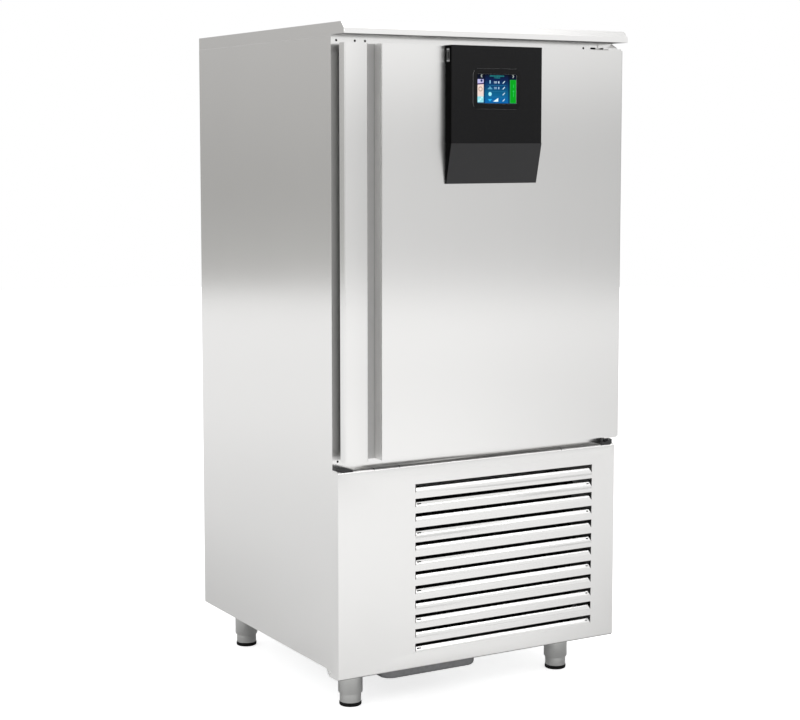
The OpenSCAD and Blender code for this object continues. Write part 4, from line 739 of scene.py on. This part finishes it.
def wire_guards():
    """Fan guards: six rings on four crossed spokes in front of each fan, with a domed clip at each spoke's end."""
    low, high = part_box("fan_guards")
    sheet_y, thick = high.y, 1.5 * MM
    reach = (high.x - low.x) / 2
    step = (reach - 2 * thick) / 6
    parts = []
    turn = np.linspace(0, 2 * np.pi, 72, endpoint=False)
    for z in (low.z + reach, high.z - reach):
        for r in np.arange(1, 7) * step:
            circle = np.stack([r * np.cos(turn), 0 * turn + sheet_y - 3.4 * MM, z + r * np.sin(turn)], -1)
            parts.append(wire(circle, thick, ends=False))
        for w in np.radians((0, 45, 90, 135)):
            end = np.array((np.cos(w), 0, np.sin(w))) * (reach - thick)
            middle = np.array((0, sheet_y - 1.6 * MM, z))
            parts.append(wire([middle - end, middle, middle + end], thick))
            clips = [tuple(middle + s * end * 0.985 + (0, 1.6 * MM, 0)) for s in (-1, 1)]
            parts.append(heads(clips, (0, -1, 0), 4.5 * MM, 2.6 * MM, cross=False))
    piece = closed(new_piece("wire_guards", *joined(parts), "guard_wire", "cabinet", slot_of_node["fan_guards"]))
    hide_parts("fan_guards")


# ---- Studio -----------------------------------------------------------------------------------------

def studio():
    """White round floor and white surroundings. In reflections the surroundings are a grey studio wall that
    brightens upwards, and the floor ends at its rim. Soft area lamps add the modelling."""
    rim, corners, drop = 12.0, 96, 0.3 * MM
    angle = np.linspace(0, 2 * np.pi, corners, endpoint=False)
    ring = np.stack([rim * np.cos(angle), rim * np.sin(angle), 0 * angle - drop], -1)
    mesh = bpy.data.meshes.new("studio_floor")
    mesh.from_pydata(ring.tolist(), [], [tuple(range(corners))])
    floor = bpy.data.objects.new("studio_floor", mesh)
    bpy.context.scene.collection.objects.link(floor)
    f = Finish("studio_floor", Base_Color=(0.88, 0.88, 0.88), Roughness=0.9, Specular_IOR_Level=0.0)
    camera, glossy, clear = f.rays()
    x, y = f.axis("X") * MM, f.axis("Y") * MM
    r = (x * x + y * y).math("SQRT")
    away = r.math("MAXIMUM", 0.5)
    fore = (-y / away).above(0.2, 0.6)
    # What the floor shows in reflections brightens outwards, and in front of the cabinet darkens to the right
    left = r.above(3.2, 2.1) * 0.26 + r.above(7.0, 3.0) * 0.13 + r.above(2.0, 0.6) * 0.02
    ahead = r.above(6.5, 4.0) * 0.43 + 0.457 - (x / away).math("MAXIMUM", 0.44) * 0.7
    shine = left * (1.0 - fore) + ahead * fore
    f.set(Emission_Color=(1, 1, 1), Emission_Strength=camera * 0.72 + clear * 0.3 + glossy * shine)
    mesh.materials.append(f.material)

    world = bpy.data.worlds.new("studio_world")
    bpy.context.scene.world = world
    world.use_nodes = True
    w = Tree(world.node_tree)
    camera, glossy, clear = w.rays()
    direction = w.node("ShaderNodeTexCoord", output="Generated")
    across, back, up = (w.part(direction, which) for which in "XYZ")
    # Ramps from straight down to straight up, with the horizon in the middle
    height = up * 0.5 + 0.5
    wall = w.node("ShaderNodeValToRGB", {"stops": [
        (0.0, (0.54, 0.54, 0.54)), (0.455, (0.39, 0.388, 0.38)), (0.485, (0.31, 0.307, 0.30)),
        (0.53, (0.39, 0.385, 0.38)), (0.7, (0.55, 0.55, 0.55)), (1.0, (0.72, 0.72, 0.72))]}, {0: height})
    front = w.node("ShaderNodeValToRGB", {"stops": [
        (0.0, (0.72, 0.72, 0.72)), (0.45, (0.67, 0.67, 0.67)), (0.487, (0.82, 0.82, 0.82)),
        (0.508, (0.63, 0.63, 0.63)), (0.519, (1.14, 1.14, 1.14)), (0.7, (1.14, 1.14, 1.14)),
        (1.0, (0.92, 0.92, 0.92))]}, {0: height})
    behind = back.above(0.0, 0.5)
    # Behind the cabinet the wall darkens from left to right; in front of it, towards both sides
    level = (across * -0.50 + 1.16).math("MINIMUM", behind * 9.0 + across * 0.35 + 0.92)
    seen = w.shade(w.blend(behind, front, wall), level)
    tone = w.blend(glossy, (0.70, 0.70, 0.70), seen)
    tone = w.blend(camera.math("MAXIMUM", clear), tone, (1, 1, 1))
    sky = w.node("ShaderNodeBackground", None, {"Color": tone, "Strength": 1.0})
    output = w.tree.nodes.new("ShaderNodeOutputWorld")
    w.tree.links.new(sky.socket, output.inputs[0])

    for name, place, aim, width, height, power in (
            ("front_softbox", (1.2, -4.6, 3.6), (0, -0.2, 0.8), 2.6, 1.6, 50),
            ("left_softbox", (-4.6, -1.2, 3.4), (-0.3, 0, 0.8), 2.4, 1.6, 30),
            ("top_softbox", (0.2, -0.6, 4.6), (0, 0, 0.8), 3.6, 3.6, 40)):
        lamp = bpy.data.lights.new(name, "AREA")
        lamp.shape, lamp.size, lamp.size_y, lamp.energy = "RECTANGLE", width, height, power
        light = bpy.data.objects.new(name, lamp)
        light.location = place
        light.rotation_euler = (Vector(aim) - Vector(place)).to_track_quat("-Z", "Y").to_euler()
        bpy.context.scene.collection.objects.link(light)


# ---- Assembly ---------------------------------------------------------------------------------------

set_camera()
for node, (finish, edge) in FORMED.items():
    formed(node, finish, edge, SIDES.get(node))
for node, finish in PAINTED.items():
    painted(node, finish)
touch_screen()
frame_plugs()
cross_screws()
port_screws()
bellows_gasket()
wire_guards()
studio()

bpy.context.scene.view_settings.view_transform = "Standard"
